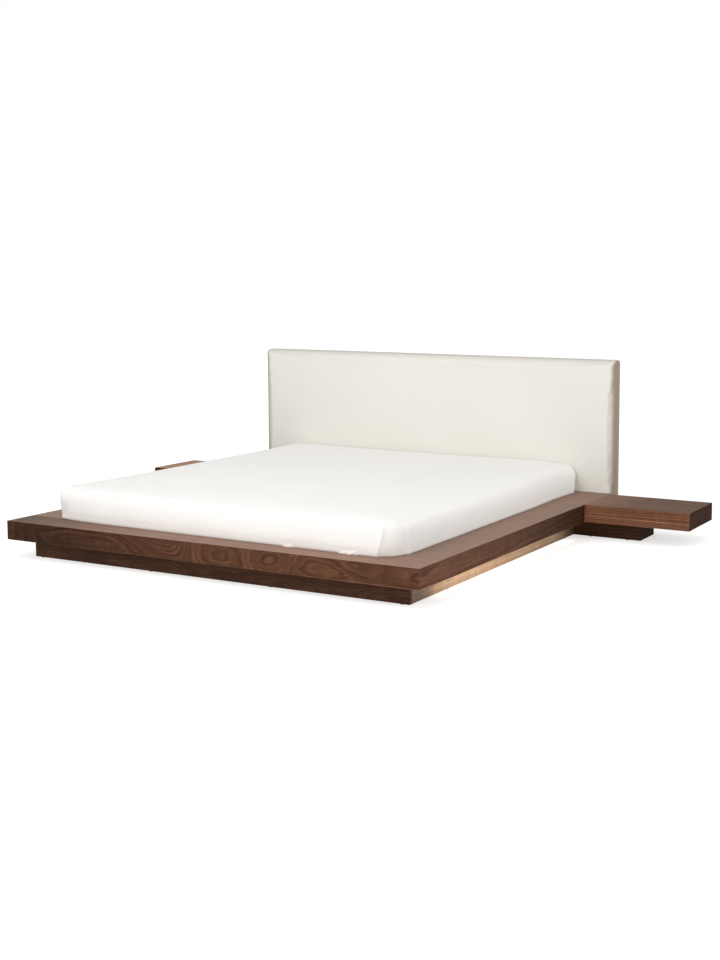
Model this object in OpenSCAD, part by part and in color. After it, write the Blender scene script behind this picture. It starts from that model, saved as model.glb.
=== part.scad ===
// Low platform bed: a flush timber platform on a set-back plinth, a nightstand slab bolted to each
// side rail, an upholstered headboard, sprung slats and a mattress.
// Origin at the floor under the middle of the bed, +X to the right, +Y to the head, +Z up.

/* [Mattress] */
// Width of the mattress
mattress_w = 1930; // [1800:5:2000]
// Length of the mattress
mattress_l = 2032; // [1900:1:2150]
// Height of the mattress at the middle of its crown
mattress_h = 166; // [130:1:220]
// Corner radius of the mattress seen from above
mattress_corner_r = 70; // [40:1:120]
// Radius of the top edge of the mattress
mattress_edge_r = 32; // [20:1:45]
// Radius of the bottom edge of the mattress
mattress_foot_r = 14; // [6:1:20]
// Rise of the mattress top from its edge to its middle
mattress_crown = 9; // [2:1:20]
// How far the sides of the mattress swell at half height
mattress_belly = 6; // [0:1:12]
// Thickness of the quilted cover at the sides
quilt_side = 12; // [8:1:20]
// Thickness of the quilted cover under the middle of the top
quilt_top = 22; // [20:1:30]
// Thickness of the quilted cover at the bottom
quilt_bottom = 6; // [3:1:12]
// Height of the comfort foam on the mattress core
comfort_h = 45; // [25:1:60]

/* [Platform] */
// Platform that shows beyond the mattress at the foot
foot_border = 128; // [80:1:220]
// Platform that shows beyond the mattress on each side
side_border = 180; // [120:1:260]
// How far the rails reach in under the mattress
rail_overlap = 42; // [20:1:80]
// Height of the rails and of the nightstands
rail_h = 92; // [85:1:130]
// Wall of the veneered rail casings
casing_t = 18; // [12:1:20]
// Thickness of the timber boards that close the rail casings
inner_board_t = 28; // [26:1:40]
// Radius of the eased casing edges
edge_ease = 1.5; // [0.5:0.5:3]
// Thickness of the head rail
head_rail_t = 62; // [50:1:90]
// Length of the glue blocks inside the side rails
rail_block_l = 90; // [60:1:110]

/* [Plinth] */
// Height of the plinth, up to the underside of the rails
plinth_h = 92; // [85:1:140]
// Set-back of the plinth from the front of the foot rail
foot_inset = 87; // [40:1:100]
// Set-back of the plinth from the outside of a side rail
side_inset = 96; // [40:1:140]
// Set-back of the plinth from the face of the headboard
head_inset = 88; // [85:1:160]
// Thickness of the plinth boards
plinth_board_t = 18; // [16:1:24]
// Side of the glue blocks in the plinth corners
corner_block = 40; // [25:1:40]
// Height of a floor glide under a board
glide_h = 3; // [2:0.5:8]
// Radius of a floor glide
glide_r = 7.5; // [6:0.5:8]
// Radius of the spigot of a floor glide
glide_pin_r = 2.5; // [2:0.5:3.5]
// Length of the spigot of a floor glide
glide_pin_l = 12; // [8:1:20]

/* [Nightstands] */
// Width of a nightstand, out from the side rail
nightstand_w = 571; // [400:1:650]
// Depth of a nightstand from front to back
nightstand_d = 380; // [330:1:450]
// Gap from the back of a nightstand to the face of the headboard
nightstand_gap = 22; // [0:1:60]
// How far a nightstand base reaches out from the plinth
base_w = 377; // [340:1:400]
// Set-back of a nightstand base from the front and the back of its nightstand
base_inset = 88; // [50:1:90]

/* [Slats] */
// Width of a slat
slat_w = 90; // [60:1:100]
// Thickness of a slat
slat_t = 12; // [8:1:14]
// Upward bow of a slat over its length
slat_bow = 12; // [6:1:16]
// Gap from the first and last slat to the rails
slat_end_gap = 14; // [8:1:40]
// Length of a slat holder along its slat
holder_l = 40; // [30:1:50]
// Walls of a slat holder
holder_wall = 3; // [2:0.5:5]
// Height of a slat holder under its slat's end
holder_floor = 3; // [2:0.5:5]
// Radius of the pegs under a slat holder
peg_r = 5; // [4:0.5:6]
// Length of the pegs under a slat holder
peg_l = 14; // [10:1:18]
// Distance between the two pegs of a slat holder
peg_pitch = 50; // [36:1:60]
// Width of a slat ledge
ledge_w = 34; // [28:1:40]
// Height of a slat ledge
ledge_h = 40; // [30:1:44]
// Width of the centre beam
beam_w = 70; // [60:1:90]
// Height of the centre beam
beam_h = 50; // [40:1:60]
// Outer radius of a centre leg
leg_r = 19; // [15:1:25]
// Wall of a centre leg
leg_wall = 2; // [1.5:0.5:4]
// Radius of the flange on top of a centre leg
leg_flange_r = 33; // [28:1:35]

/* [Headboard] */
// Width of the headboard
headboard_w = 2296; // [2200:1:2400]
// Height of the headboard's top edge above the floor
headboard_top = 914; // [700:1:1200]
// Thickness of the headboard
headboard_t = 90; // [80:1:110]
// Radius of the padded edge round the headboard's face
headboard_edge_r = 18; // [8:1:26]
// Corner radius of the headboard seen from the front
headboard_corner_r = 16; // [10:1:60]
// Rise of the padding from the edge of the face to its middle
headboard_crown = 3; // [1:0.5:8]
// Gap between the mattress and the headboard
headboard_gap = 2; // [1:0.5:20]
// Thickness of the upholstery fabric with its wadding
fabric_t = 2; // [1:0.5:4]
// Thickness of the headboard foam
foam_t = 32; // [30:1:45]
// Thickness of the plywood face behind the foam
ply_t = 6; // [4:1:9]
// Height of the top and bottom timbers of the headboard, and width of its stiles
timber_w = 60; // [45:1:80]
// Number of stiles in the headboard
stile_count = 5; // [4:1:8]
// Width of the fabric return on the back of the headboard
return_w = 24; // [15:1:45]
// Thickness of the cloth on the back of the headboard
back_cloth_t = 1; // [0.5:0.5:2]
// Width of a headboard leg
hb_leg_w = 60; // [50:1:70]
// Depth of a headboard leg
hb_leg_d = 34; // [28:1:36]
// Height of the tenon on a headboard leg
tenon_h = 25; // [15:1:35]

/* [Hardware] */
// Thickness of the steel plates and brackets
steel_t = 4; // [3:0.5:5]
// Length of a joining plate, across its seam
plate_l = 90; // [80:1:110]
// Width of a joining plate
plate_w = 50; // [40:1:54]
// Radius of a wood screw
screw_r = 2.5; // [2:0.5:3]
// Length of a wood screw
screw_l = 17; // [14:1:19]
// Radius of a dowel
dowel_r = 5; // [4:0.5:6]
// Length of a dowel
dowel_l = 44; // [36:1:48]
// Radius of a headboard bolt
bolt_r = 4; // [3:0.5:5]
// Height of a headboard bracket's upright flange
bracket_h = 60; // [50:1:70]
// Reach of a bracket under the head rail, from the headboard's face
bracket_reach = 76; // [72:1:80]
// Width of a bracket
bracket_w = 50; // [44:1:54]
// Depth of a headboard bolt below the rails, for the upper of the two
bolt_drop = 20; // [18:1:22]
// Distance between the two bolts of a bracket
bolt_pitch = 23; // [21:1:25]
// Thickness of the steel hangers at the ends of the centre beam
hanger_t = 2.5; // [2:0.5:4]
// Reach of a hanger under the centre beam
hanger_reach = 45; // [35:1:55]

/* [Hidden] */
// Gap between a soft piece and what it touches
soft_gap = 0.3;
// Gap all round a pin, a slat or a screw in its hole
fit_gap = 0.2;
// Rows of slats, a pair in each
slat_rows = 12;
// Sides of a round form
$fn = 48;

// Places along X, from the middle of the bed out
rail_x = mattress_w / 2 + side_border;
open_x = mattress_w / 2 - rail_overlap;
plinth_x = rail_x - side_inset;
nightstand_x = rail_x + nightstand_w;
base_x = plinth_x + base_w;
// Places along Y, from the foot to the head
depth = foot_border + mattress_l + headboard_gap + headboard_t;
front_y = -depth / 2;
seam_y = front_y + foot_border + rail_overlap;
face_y = depth / 2 - headboard_t;
open_y = face_y - head_rail_t;
plinth_front_y = front_y + foot_inset;
plinth_back_y = face_y - head_inset;
night_back_y = face_y - nightstand_gap;
night_front_y = night_back_y - nightstand_d;
base_front_y = night_front_y + base_inset;
base_back_y = night_back_y - base_inset;
// Places along Z
rail_z = plinth_h;
top_z = plinth_h + rail_h;
mid_z = rail_z + rail_h / 2;

// Slats: each arc runs from the web of the centre holder to the end wall of the side holder
slat_in = holder_wall / 2 + fit_gap;
slat_out = open_x - fit_gap - holder_wall - fit_gap;
slat_len = slat_out - slat_in;
slat_mid = (slat_in + slat_out) / 2;
slat_radius = pow(slat_len, 2) / (8 * slat_bow) + slat_bow / 2;
slat_centre_z = top_z - slat_t - slat_radius;
slat_end_z = top_z - slat_t - slat_bow;
ledge_z = slat_end_z - fit_gap - holder_floor;
holder_w = slat_w + 2 * (fit_gap + holder_wall);
holder_h = holder_floor + slat_t + slat_bow / 4 + holder_wall;
slat_first = seam_y + slat_end_gap + slat_w / 2;
slat_pitch = (open_y - seam_y - 2 * slat_end_gap - slat_w) / (slat_rows - 1);
beam_z = ledge_z - beam_h;

// Glue blocks in a side rail: one at each end and one at the front of the nightstand
block_x = open_x + inner_board_t;
block_w = rail_x - casing_t - block_x;
night_block_shift = 20;
block_ys = [seam_y, night_front_y + night_block_shift, face_y - soft_gap - rail_block_l];
casing_gap_h = rail_h - 2 * casing_t;

// Joining plates under the seams, as x, y and turn, on the right-hand side
plate_edge = 4;
plate_corner_r = 6;
night_plate_y = (base_back_y - base_front_y) / 2 - plinth_board_t - plate_w / 2 - 2;
right_plates = [
    [open_x + plate_edge + plate_w / 2, seam_y, 90],
    [open_x, face_y - head_rail_t / 2, 0],
    [rail_x, (base_front_y + base_back_y) / 2 - night_plate_y, 0],
    [rail_x, (base_front_y + base_back_y) / 2 + night_plate_y, 0]];
plate_hole_x = plate_l / 2 - 15;
plate_hole_y = plate_w / 2 - 11;
screw_head_r = screw_r + 2;
screw_head_h = 2;

// Centre legs and plinth cross boards, spaced evenly between the plinth's foot and head boards
plinth_in_y = [plinth_front_y + plinth_board_t, plinth_back_y - plinth_board_t];
plinth_run = plinth_in_y[1] - plinth_in_y[0];
centre_leg_ys = [for (part = [1, 3, 5]) plinth_in_y[0] + plinth_run * part / 6];
cross_ys = [for (part = [2, 4]) plinth_in_y[0] + plinth_run * part / 6];
foot_cap_h = 14;
foot_cap_wall = 3;

// Headboard, from its face back
headboard_h = headboard_top - rail_z;
foam_y = face_y + fabric_t;
ply_y = foam_y + foam_t;
frame_y = ply_y + ply_t;
frame_back_y = depth / 2 - fabric_t - soft_gap;
frame_x = headboard_w / 2 - fabric_t - soft_gap;
frame_low_z = rail_z + fabric_t + soft_gap;
frame_high_z = headboard_top - fabric_t - soft_gap;
hb_leg_shift = 21;
shoulder_x = 12;
shoulder_y = 7;
bracket_hole_edge = 14;
bracket_hole_pitch = 26;
hb_leg_x = rail_x - side_border / 2 - hb_leg_shift;
hb_leg_y = frame_y + 3;
tenon_w = hb_leg_w - 2 * shoulder_x;
tenon_d = hb_leg_d - 2 * shoulder_y;
bracket_hole_y = face_y - bracket_reach + bracket_hole_edge;
bracket_hole_ys = [bracket_hole_y, bracket_hole_y + bracket_hole_pitch];
bolt_zs = [rail_z - bolt_drop, rail_z - bolt_drop - bolt_pitch];
bolt_head_r = bolt_r * 1.85;
bolt_head_h = 5.5;

// Glides: under the plinth boards, the nightstand bases and the headboard legs
side_glide_ys = [for (part = [1, 3, 5]) plinth_in_y[0] + plinth_run * part / 6];
foot_glide_xs = [for (part = [-3, -1, 1, 3]) part * (plinth_x - 40) / 3];
base_glide_xs = [plinth_x + base_w * 0.25, plinth_x + base_w * 0.8];
glide_places = concat(
    [for (x = foot_glide_xs) [x, plinth_front_y + plinth_board_t / 2]],
    [for (x = foot_glide_xs) [x, plinth_back_y - plinth_board_t / 2]],
    [for (s = [-1, 1], y = side_glide_ys) [s * (plinth_x - plinth_board_t / 2), y]],
    [for (s = [-1, 1], x = base_glide_xs) [s * x, base_front_y + plinth_board_t / 2]],
    [for (s = [-1, 1], x = base_glide_xs) [s * x, base_back_y - plinth_board_t / 2]],
    [for (s = [-1, 1]) [s * hb_leg_x, hb_leg_y + hb_leg_d / 2]]);

// Colours
veneer = "#6b4b3a";
plinth_colour = "#4a3226";
timber = "#c9a577";
birch = "#d9bd8f";
steel = "#8d9196";
plastic = "#26262a";
ivory = "#e9e6dd";
white = "#f3f2ef";
foam_colour = "#e8dcae";

two_digits = function(n) n < 10 ? str("0", n) : str(n);
row_names = [for (n = [1:slat_rows]) str("slat_row_", two_digits(n))];

// A box between two opposite corners
module block(low, high) {
    translate(low) cube(high - low);
}

// A rectangle with its lower left corner at the origin and round corners of radius r
module round_rect(size, r) {
    translate([r, 0]) square([size.x - 2 * r, size.y]);
    translate([0, r]) square([size.x, size.y - 2 * r]);
    for (x = [r, size.x - r], y = [r, size.y - r]) translate([x, y]) circle(r = r);
}

// A box between two corners with every edge eased
module eased_block(low, high, r = edge_ease) {
    size = high - low;
    translate(low) intersection() {
        linear_extrude(size.z) round_rect([size.x, size.y], r);
        translate([0, size.y, 0]) rotate([90, 0, 0]) linear_extrude(size.y) round_rect([size.x, size.z], r);
        rotate([90, 0, 90]) linear_extrude(size.x) round_rect([size.y, size.z], r);
    }
}

// Its children, and their mirror image on the left-hand side
module both_sides() {
    children();
    mirror([1, 0, 0]) children();
}

// Points of a rounded rectangle outline: each corner in steps, and each straight edge in parts
corner_steps = 5;
edge_parts = 5;
function corner_points(half_x, half_y, r, turn) = [for (i = [0:corner_steps])
    let (a = turn + 90 * i / corner_steps,
         cx = (half_x - r) * sign(cos(turn + 45)),
         cy = (half_y - r) * sign(sin(turn + 45)))
    [cx + r * cos(a), cy + r * sin(a)]];
function with_edge(points, next) = concat(points,
    [for (i = [1:edge_parts - 1]) points[corner_steps] + (next - points[corner_steps]) * i / edge_parts]);
function outline(half_x, half_y, r) =
    let (corners = [for (turn = [0:90:270]) corner_points(half_x, half_y, r, turn)])
    [for (k = [0:3], p = with_edge(corners[k], corners[(k + 1) % 4][0])) p];

// A padded form on z = 0: flat below, round edges, sides that swell, and a crowned top.
// Rings run up the side and then in over the crown to a single top point.
foot_steps = 2;
side_steps = 2;
edge_steps = 5;
crown_parts = [0.85, 0.65, 0.4, 0.2];
module padded_form(w, l, h, corner_r, edge_r, foot_r, crown, belly) {
    rim_z = h - crown;
    foot_ring = [for (i = [0:foot_steps]) let (a = 90 * i / foot_steps)
        [foot_r * (1 - sin(a)), foot_r * (1 - cos(a))]];
    side_ring = [for (i = [1:side_steps])
        [0, foot_r + (rim_z - edge_r - foot_r) * i / (side_steps + 1)]];
    edge_ring = [for (i = [0:edge_steps]) let (a = 90 * i / edge_steps)
        [edge_r * (1 - cos(a)), rim_z - edge_r * (1 - sin(a))]];
    profile = foot_r > 0 ? concat(foot_ring, side_ring, edge_ring) : concat([[0, 0]], side_ring, edge_ring);
    rings = [for (p = profile)
        let (inset = p[0] + belly * (1 - sin(180 * min(p[1] / rim_z, 1))),
             r = max(corner_r - inset, 1))
        [for (q = outline(w / 2 - inset, l / 2 - inset, r)) [q.x, q.y, p[1]]]];
    rim = rings[len(rings) - 1];
    crown_rings = [for (k = crown_parts) [for (q = rim) [k * q.x, k * q.y, rim_z + crown * (1 - k * k)]]];
    all_rings = concat(rings, crown_rings);
    n = len(rim);
    ring_count = len(all_rings);
    points = concat([for (ring = all_rings, q = ring) q], [[0, 0, h], [0, 0, 0]]);
    top = ring_count * n;
    bottom = top + 1;
    sides = [for (k = [0:ring_count - 2], i = [0:n - 1]) let (j = (i + 1) % n)
        each [[k * n + i, (k + 1) * n + i, (k + 1) * n + j], [k * n + i, (k + 1) * n + j, k * n + j]]];
    cap = [for (i = [0:n - 1]) [(ring_count - 1) * n + i, top, (ring_count - 1) * n + (i + 1) % n]];
    base = [for (i = [0:n - 1]) [i, (i + 1) % n, bottom]];
    polyhedron(points = points, faces = concat(sides, cap, base));
}

// Mattress
module mattress_prism(low, high, gap) {
    inset = mattress_belly + quilt_side + gap;
    size = [mattress_w - 2 * inset, mattress_l - 2 * inset];
    translate([-size.x / 2, front_y + foot_border + inset, top_z + soft_gap + low])
        linear_extrude(high - low) round_rect(size, mattress_corner_r - inset);
}
core_top = mattress_h - quilt_top - comfort_h;
module mattress_cover() {
    color(white) difference() {
        translate([0, front_y + foot_border + mattress_l / 2, top_z + soft_gap])
            padded_form(mattress_w, mattress_l, mattress_h, mattress_corner_r, mattress_edge_r,
                mattress_foot_r, mattress_crown, mattress_belly);
        mattress_prism(quilt_bottom, mattress_h - quilt_top, 0);
    }
}
module mattress_comfort_foam() {
    color(foam_colour) mattress_prism(core_top + soft_gap, mattress_h - quilt_top - soft_gap, soft_gap);
}
module mattress_core() {
    color(foam_colour) mattress_prism(quilt_bottom + soft_gap, core_top, soft_gap);
}

// Screws, plates and dowels: one set of places serves the pieces and their holes
module at_plates() {
    both_sides() for (p = right_plates) translate([p.x, p.y, rail_z]) rotate(p.z) children();
}
module at_plate_screws() {
    at_plates() for (x = [-plate_hole_x, plate_hole_x], y = [-plate_hole_y, plate_hole_y])
        translate([x, y, -steel_t]) children();
}
module at_bracket_screws() {
    both_sides() for (y = bracket_hole_ys) translate([hb_leg_x, y, rail_z - steel_t]) children();
}
module screw(gap = 0) {
    cylinder(r = screw_r + gap, h = screw_l + gap);
    cylinder(r1 = screw_head_r + gap, r2 = screw_r + gap, h = screw_head_h);
}
module screw_holes() {
    at_plate_screws() screw(fit_gap);
    at_bracket_screws() screw(fit_gap);
}
module at_dowels() {
    both_sides() {
        for (part = [0.3, 0.7]) translate([block_x + block_w * part, seam_y, mid_z])
            rotate([90, 0, 0]) children();
        for (part = [0.3, 0.7]) translate([open_x, open_y + head_rail_t * part, mid_z])
            rotate([0, 90, 0]) children();
        for (k = [1, 2]) translate([rail_x, block_ys[k] + rail_block_l * 0.25, mid_z])
            rotate([0, 90, 0]) children();
    }
}
module dowel_holes() {
    at_dowels() cylinder(r = dowel_r + fit_gap, h = dowel_l + 2 * fit_gap, center = true);
}
module joining_plates() {
    color(steel) difference() {
        at_plates() translate([-plate_l / 2, -plate_w / 2, -steel_t])
            linear_extrude(steel_t) round_rect([plate_l, plate_w], plate_corner_r);
        at_plate_screws() screw(fit_gap);
    }
}
module plate_screws() {
    color(steel) {
        at_plate_screws() screw();
        at_bracket_screws() screw();
    }
}
module dowels() {
    color(birch) at_dowels() cylinder(r = dowel_r, h = dowel_l, center = true);
}

// Foot rail: a casing open to the back, closed by its inner board
module foot_rail() {
    color(veneer) difference() {
        eased_block([-rail_x, front_y, rail_z], [rail_x, seam_y, top_z]);
        block([-rail_x + casing_t, front_y + casing_t, rail_z + casing_t],
              [rail_x - casing_t, seam_y + 1, top_z - casing_t]);
        screw_holes();
    }
}
module foot_rail_inner_board() {
    color(timber) difference() {
        block([-rail_x + casing_t, seam_y - inner_board_t, rail_z + casing_t],
              [rail_x - casing_t, seam_y, top_z - casing_t]);
        dowel_holes();
    }
}

// Side rails: casings open to the inside, each closed by its inner board
module side_rail() {
    color(veneer) difference() {
        eased_block([open_x, seam_y, rail_z], [rail_x, face_y - soft_gap, top_z]);
        block([open_x - 1, seam_y - 1, rail_z + casing_t],
              [rail_x - casing_t, face_y + 1, top_z - casing_t]);
        screw_holes();
        dowel_holes();
    }
}
module side_rail_left() mirror([1, 0, 0]) side_rail();
module side_rail_right() side_rail();
module side_rail_inner_board() {
    color(timber) difference() {
        block([open_x, seam_y, rail_z + casing_t],
              [open_x + inner_board_t, face_y - soft_gap, top_z - casing_t]);
        dowel_holes();
    }
}
module side_rail_inner_board_left() mirror([1, 0, 0]) side_rail_inner_board();
module side_rail_inner_board_right() side_rail_inner_board();
module side_rail_blocks() {
    color(timber) difference() {
        both_sides() for (y = block_ys) translate([block_x, y, rail_z + casing_t])
            cube([block_w, rail_block_l, casing_gap_h]);
        dowel_holes();
    }
}
module head_rail() {
    color(timber) difference() {
        block([-open_x, open_y, rail_z], [open_x, face_y - soft_gap, top_z]);
        screw_holes();
        dowel_holes();
    }
}

// Plinth
module at_glides() {
    for (p = glide_places) translate(p) children();
}
module glide_holes() {
    at_glides() cylinder(r = glide_pin_r + fit_gap, h = glide_h + glide_pin_l + fit_gap);
}
module plinth_board(low, high) {
    color(plinth_colour) difference() {
        block([low.x, low.y, glide_h], [high.x, high.y, rail_z]);
        glide_holes();
    }
}
module plinth_foot_board() plinth_board([-plinth_x, plinth_front_y], [plinth_x, plinth_in_y[0]]);
module plinth_head_board() plinth_board([-plinth_x, plinth_in_y[1]], [plinth_x, plinth_back_y]);
module plinth_side() plinth_board([plinth_x - plinth_board_t, plinth_in_y[0]], [plinth_x, plinth_in_y[1]]);
module plinth_side_left() mirror([1, 0, 0]) plinth_side();
module plinth_side_right() plinth_side();
module plinth_cross(y) {
    color(timber) block([-plinth_x + plinth_board_t, y - plinth_board_t / 2, glide_h],
        [plinth_x - plinth_board_t, y + plinth_board_t / 2, rail_z]);
}
module plinth_cross_front() plinth_cross(cross_ys[0]);
module plinth_cross_rear() plinth_cross(cross_ys[1]);
module plinth_corner_blocks() {
    x = plinth_x - plinth_board_t - corner_block;
    color(timber) both_sides() for (y = [plinth_in_y[0], plinth_in_y[1] - corner_block])
        translate([x, y, glide_h]) cube([corner_block, corner_block, rail_z - glide_h - steel_t - 1]);
}
module floor_glides() {
    color(plastic) at_glides() {
        cylinder(r = glide_r, h = glide_h);
        cylinder(r = glide_pin_r, h = glide_h + glide_pin_l);
    }
}

// Nightstands: a casing open towards the rail and closed by its inner board, on a box of four boards
module nightstand() {
    color(veneer) difference() {
        eased_block([rail_x, night_front_y, rail_z], [nightstand_x, night_back_y, top_z]);
        block([rail_x - 1, night_front_y + casing_t, rail_z + casing_t],
              [nightstand_x - casing_t, night_back_y - casing_t, top_z - casing_t]);
        screw_holes();
    }
}
module nightstand_left() mirror([1, 0, 0]) nightstand();
module nightstand_right() nightstand();
module nightstand_inner_board() {
    color(timber) difference() {
        block([rail_x, night_front_y + casing_t, rail_z + casing_t],
              [rail_x + inner_board_t, night_back_y - casing_t, top_z - casing_t]);
        dowel_holes();
    }
}
module nightstand_inner_board_left() mirror([1, 0, 0]) nightstand_inner_board();
module nightstand_inner_board_right() nightstand_inner_board();
module nightstand_base() {
    color(plinth_colour) difference() {
        block([plinth_x, base_front_y, glide_h], [base_x, base_back_y, rail_z]);
        block([plinth_x + plinth_board_t, base_front_y + plinth_board_t, glide_h - 1],
              [base_x - plinth_board_t, base_back_y - plinth_board_t, rail_z + 1]);
        glide_holes();
    }
}
module nightstand_base_left() mirror([1, 0, 0]) nightstand_base();
module nightstand_base_right() nightstand_base();

// Sprung slats: an arc in the XZ plane, extruded across the slat's width
module slat_arc(gap, width) {
    rotate([90, 0, 0]) translate([0, 0, -width / 2]) linear_extrude(width) intersection() {
        translate([slat_mid, slat_centre_z]) difference() {
            circle(r = slat_radius + slat_t + gap, $fn = 720);
            circle(r = slat_radius - gap, $fn = 720);
        }
        translate([slat_in - gap, slat_end_z - slat_t]) square([slat_len + 2 * gap, 4 * slat_t]);
    }
}
function row_y(row) = slat_first + slat_pitch * row;
module slat_row(row) {
    color(birch) translate([0, row_y(row), 0]) both_sides() slat_arc(0, slat_w);
}

// Slat holders: a moulded cap whose pocket is the slat's own arc with a gap round it, on two pegs
module pegs(gap = 0) {
    for (y = [-peg_pitch / 2, peg_pitch / 2])
        translate([0, y, -peg_l - gap]) cylinder(r = peg_r + gap, h = peg_l + gap + 1);
}
module holder_body(length) {
    translate([-length / 2, -holder_w / 2, 0]) linear_extrude(holder_h) round_rect([length, holder_w], 4);
    pegs();
}
side_holder_x = open_x - fit_gap - holder_l / 2;
side_peg_x = open_x - ledge_w / 2;
module side_holder() {
    difference() {
        union() {
            translate([side_holder_x - holder_l / 2, -holder_w / 2, ledge_z])
                linear_extrude(holder_h) round_rect([holder_l, holder_w], 4);
            translate([side_peg_x, 0, ledge_z]) pegs();
        }
        slat_arc(fit_gap, slat_w + 2 * fit_gap);
    }
}
module centre_holder() {
    difference() {
        translate([0, 0, ledge_z]) holder_body(2 * holder_l);
        both_sides() slat_arc(fit_gap, slat_w + 2 * fit_gap);
    }
}
module slat_side_holders() {
    color(plastic) both_sides() for (row = [0:slat_rows - 1]) translate([0, row_y(row), 0]) side_holder();
}
module slat_centre_holders() {
    color(plastic) for (row = [0:slat_rows - 1]) translate([0, row_y(row), 0]) centre_holder();
}

// Ledges, centre beam and its legs
module slat_ledge() {
    color(timber) difference() {
        block([open_x - ledge_w, seam_y, ledge_z - ledge_h], [open_x, open_y, ledge_z]);
        for (row = [0:slat_rows - 1]) translate([side_peg_x, row_y(row), ledge_z]) pegs(fit_gap);
    }
}
module slat_ledge_left() mirror([1, 0, 0]) slat_ledge();
module slat_ledge_right() slat_ledge();
module centre_beam() {
    color(timber) difference() {
        block([-beam_w / 2, seam_y + hanger_t, beam_z], [beam_w / 2, open_y - hanger_t, ledge_z]);
        for (row = [0:slat_rows - 1]) translate([0, row_y(row), ledge_z]) pegs(fit_gap);
    }
}
module beam_hanger() {
    outer_x = beam_w / 2 + hanger_t;
    difference() {
        block([-outer_x, 0, beam_z - hanger_t], [outer_x, hanger_reach, ledge_z - 4]);
        block([-beam_w / 2, hanger_t, beam_z], [beam_w / 2, hanger_reach + 1, ledge_z + 1]);
    }
}
module beam_hangers() {
    color(steel) {
        translate([0, seam_y, 0]) beam_hanger();
        translate([0, open_y, 0]) mirror([0, 1, 0]) beam_hanger();
    }
}
module centre_leg(y) {
    low_z = foot_cap_wall;
    color(steel) translate([0, y, 0]) difference() {
        union() {
            translate([0, 0, low_z]) cylinder(r = leg_r, h = beam_z - low_z);
            translate([0, 0, beam_z - steel_t]) cylinder(r = leg_flange_r, h = steel_t);
        }
        translate([0, 0, low_z - 1]) cylinder(r = leg_r - leg_wall, h = beam_z - steel_t - low_z + 1);
    }
}
module centre_leg_front() centre_leg(centre_leg_ys[0]);
module centre_leg_middle() centre_leg(centre_leg_ys[1]);
module centre_leg_rear() centre_leg(centre_leg_ys[2]);
module centre_leg_feet() {
    color(plastic) for (y = centre_leg_ys) translate([0, y, 0]) difference() {
        cylinder(r = leg_r + foot_cap_wall, h = foot_cap_h);
        translate([0, 0, foot_cap_wall]) cylinder(r = leg_r + fit_gap, h = foot_cap_h);
    }
}

// Headboard: padding on a plywood face, a timber frame behind it, short legs and steel brackets
module headboard_form(inset, back_y, front) {
    translate([0, back_y, rail_z + headboard_h / 2]) rotate([90, 0, 0])
        padded_form(headboard_w - 2 * inset, headboard_h - 2 * inset, back_y - front,
            headboard_corner_r - inset, headboard_edge_r - inset, 0, headboard_crown, 0);
}
module headboard_cover() {
    back_y = depth / 2;
    window_x = headboard_w / 2 - return_w;
    color(ivory) difference() {
        headboard_form(0, back_y, face_y);
        headboard_form(fabric_t, back_y - fabric_t, foam_y);
        block([-window_x, back_y - fabric_t - 1, rail_z + return_w],
              [window_x, back_y + 1, headboard_top - return_w]);
        block([-window_x, frame_y + 1, rail_z - 1],
              [window_x, back_y - fabric_t - 1, rail_z + fabric_t + 1]);
    }
}
module headboard_foam() {
    color(foam_colour) headboard_form(fabric_t + soft_gap, ply_y, foam_y + soft_gap);
}
module board_in_outline(front, back, low_z, high_z) {
    outline_size = [2 * frame_x, frame_high_z - frame_low_z];
    intersection() {
        translate([-frame_x, back, frame_low_z]) rotate([90, 0, 0])
            linear_extrude(back - front) round_rect(outline_size, headboard_corner_r - fabric_t);
        block([-frame_x, front, low_z], [frame_x, back, high_z]);
    }
}
module headboard_panel() {
    color(birch) board_in_outline(ply_y, frame_y, frame_low_z, frame_high_z);
}
module headboard_top_rail() {
    color(timber) board_in_outline(frame_y, frame_back_y, frame_high_z - timber_w, frame_high_z);
}
module leg_tenon(gap = 0) {
    translate([-tenon_w / 2 - gap, hb_leg_y + (hb_leg_d - tenon_d) / 2 - gap, rail_z])
        cube([tenon_w + 2 * gap, tenon_d + 2 * gap, frame_low_z - rail_z + tenon_h + gap]);
}
module headboard_bottom_rail() {
    color(timber) difference() {
        board_in_outline(frame_y, frame_back_y, frame_low_z, frame_low_z + timber_w);
        both_sides() translate([hb_leg_x, 0, 0]) leg_tenon(fit_gap);
    }
}
module headboard_stiles() {
    span = 2 * frame_x - timber_w;
    color(timber) for (k = [0:stile_count - 1])
        translate([-frame_x + span * k / (stile_count - 1), frame_y, frame_low_z + timber_w])
            cube([timber_w, frame_back_y - frame_y, frame_high_z - frame_low_z - 2 * timber_w]);
}
module at_bolts() {
    both_sides() for (z = bolt_zs) translate([hb_leg_x, hb_leg_y, z]) rotate([-90, 0, 0]) children();
}
module headboard_leg() {
    translate([hb_leg_x, 0, 0]) {
        block([-hb_leg_w / 2, hb_leg_y, glide_h], [hb_leg_w / 2, hb_leg_y + hb_leg_d, frame_low_z]);
        leg_tenon();
    }
}
module headboard_legs() {
    color(timber) difference() {
        both_sides() headboard_leg();
        at_bolts() cylinder(r = bolt_r + fit_gap, h = 3 * hb_leg_d, center = true);
        glide_holes();
    }
}
module headboard_back_cloth() {
    x = headboard_w / 2 - return_w - soft_gap;
    y = depth / 2 - fabric_t;
    color(plastic) block([-x, y, rail_z + return_w + soft_gap],
        [x, y + back_cloth_t, headboard_top - return_w - soft_gap]);
}
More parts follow.
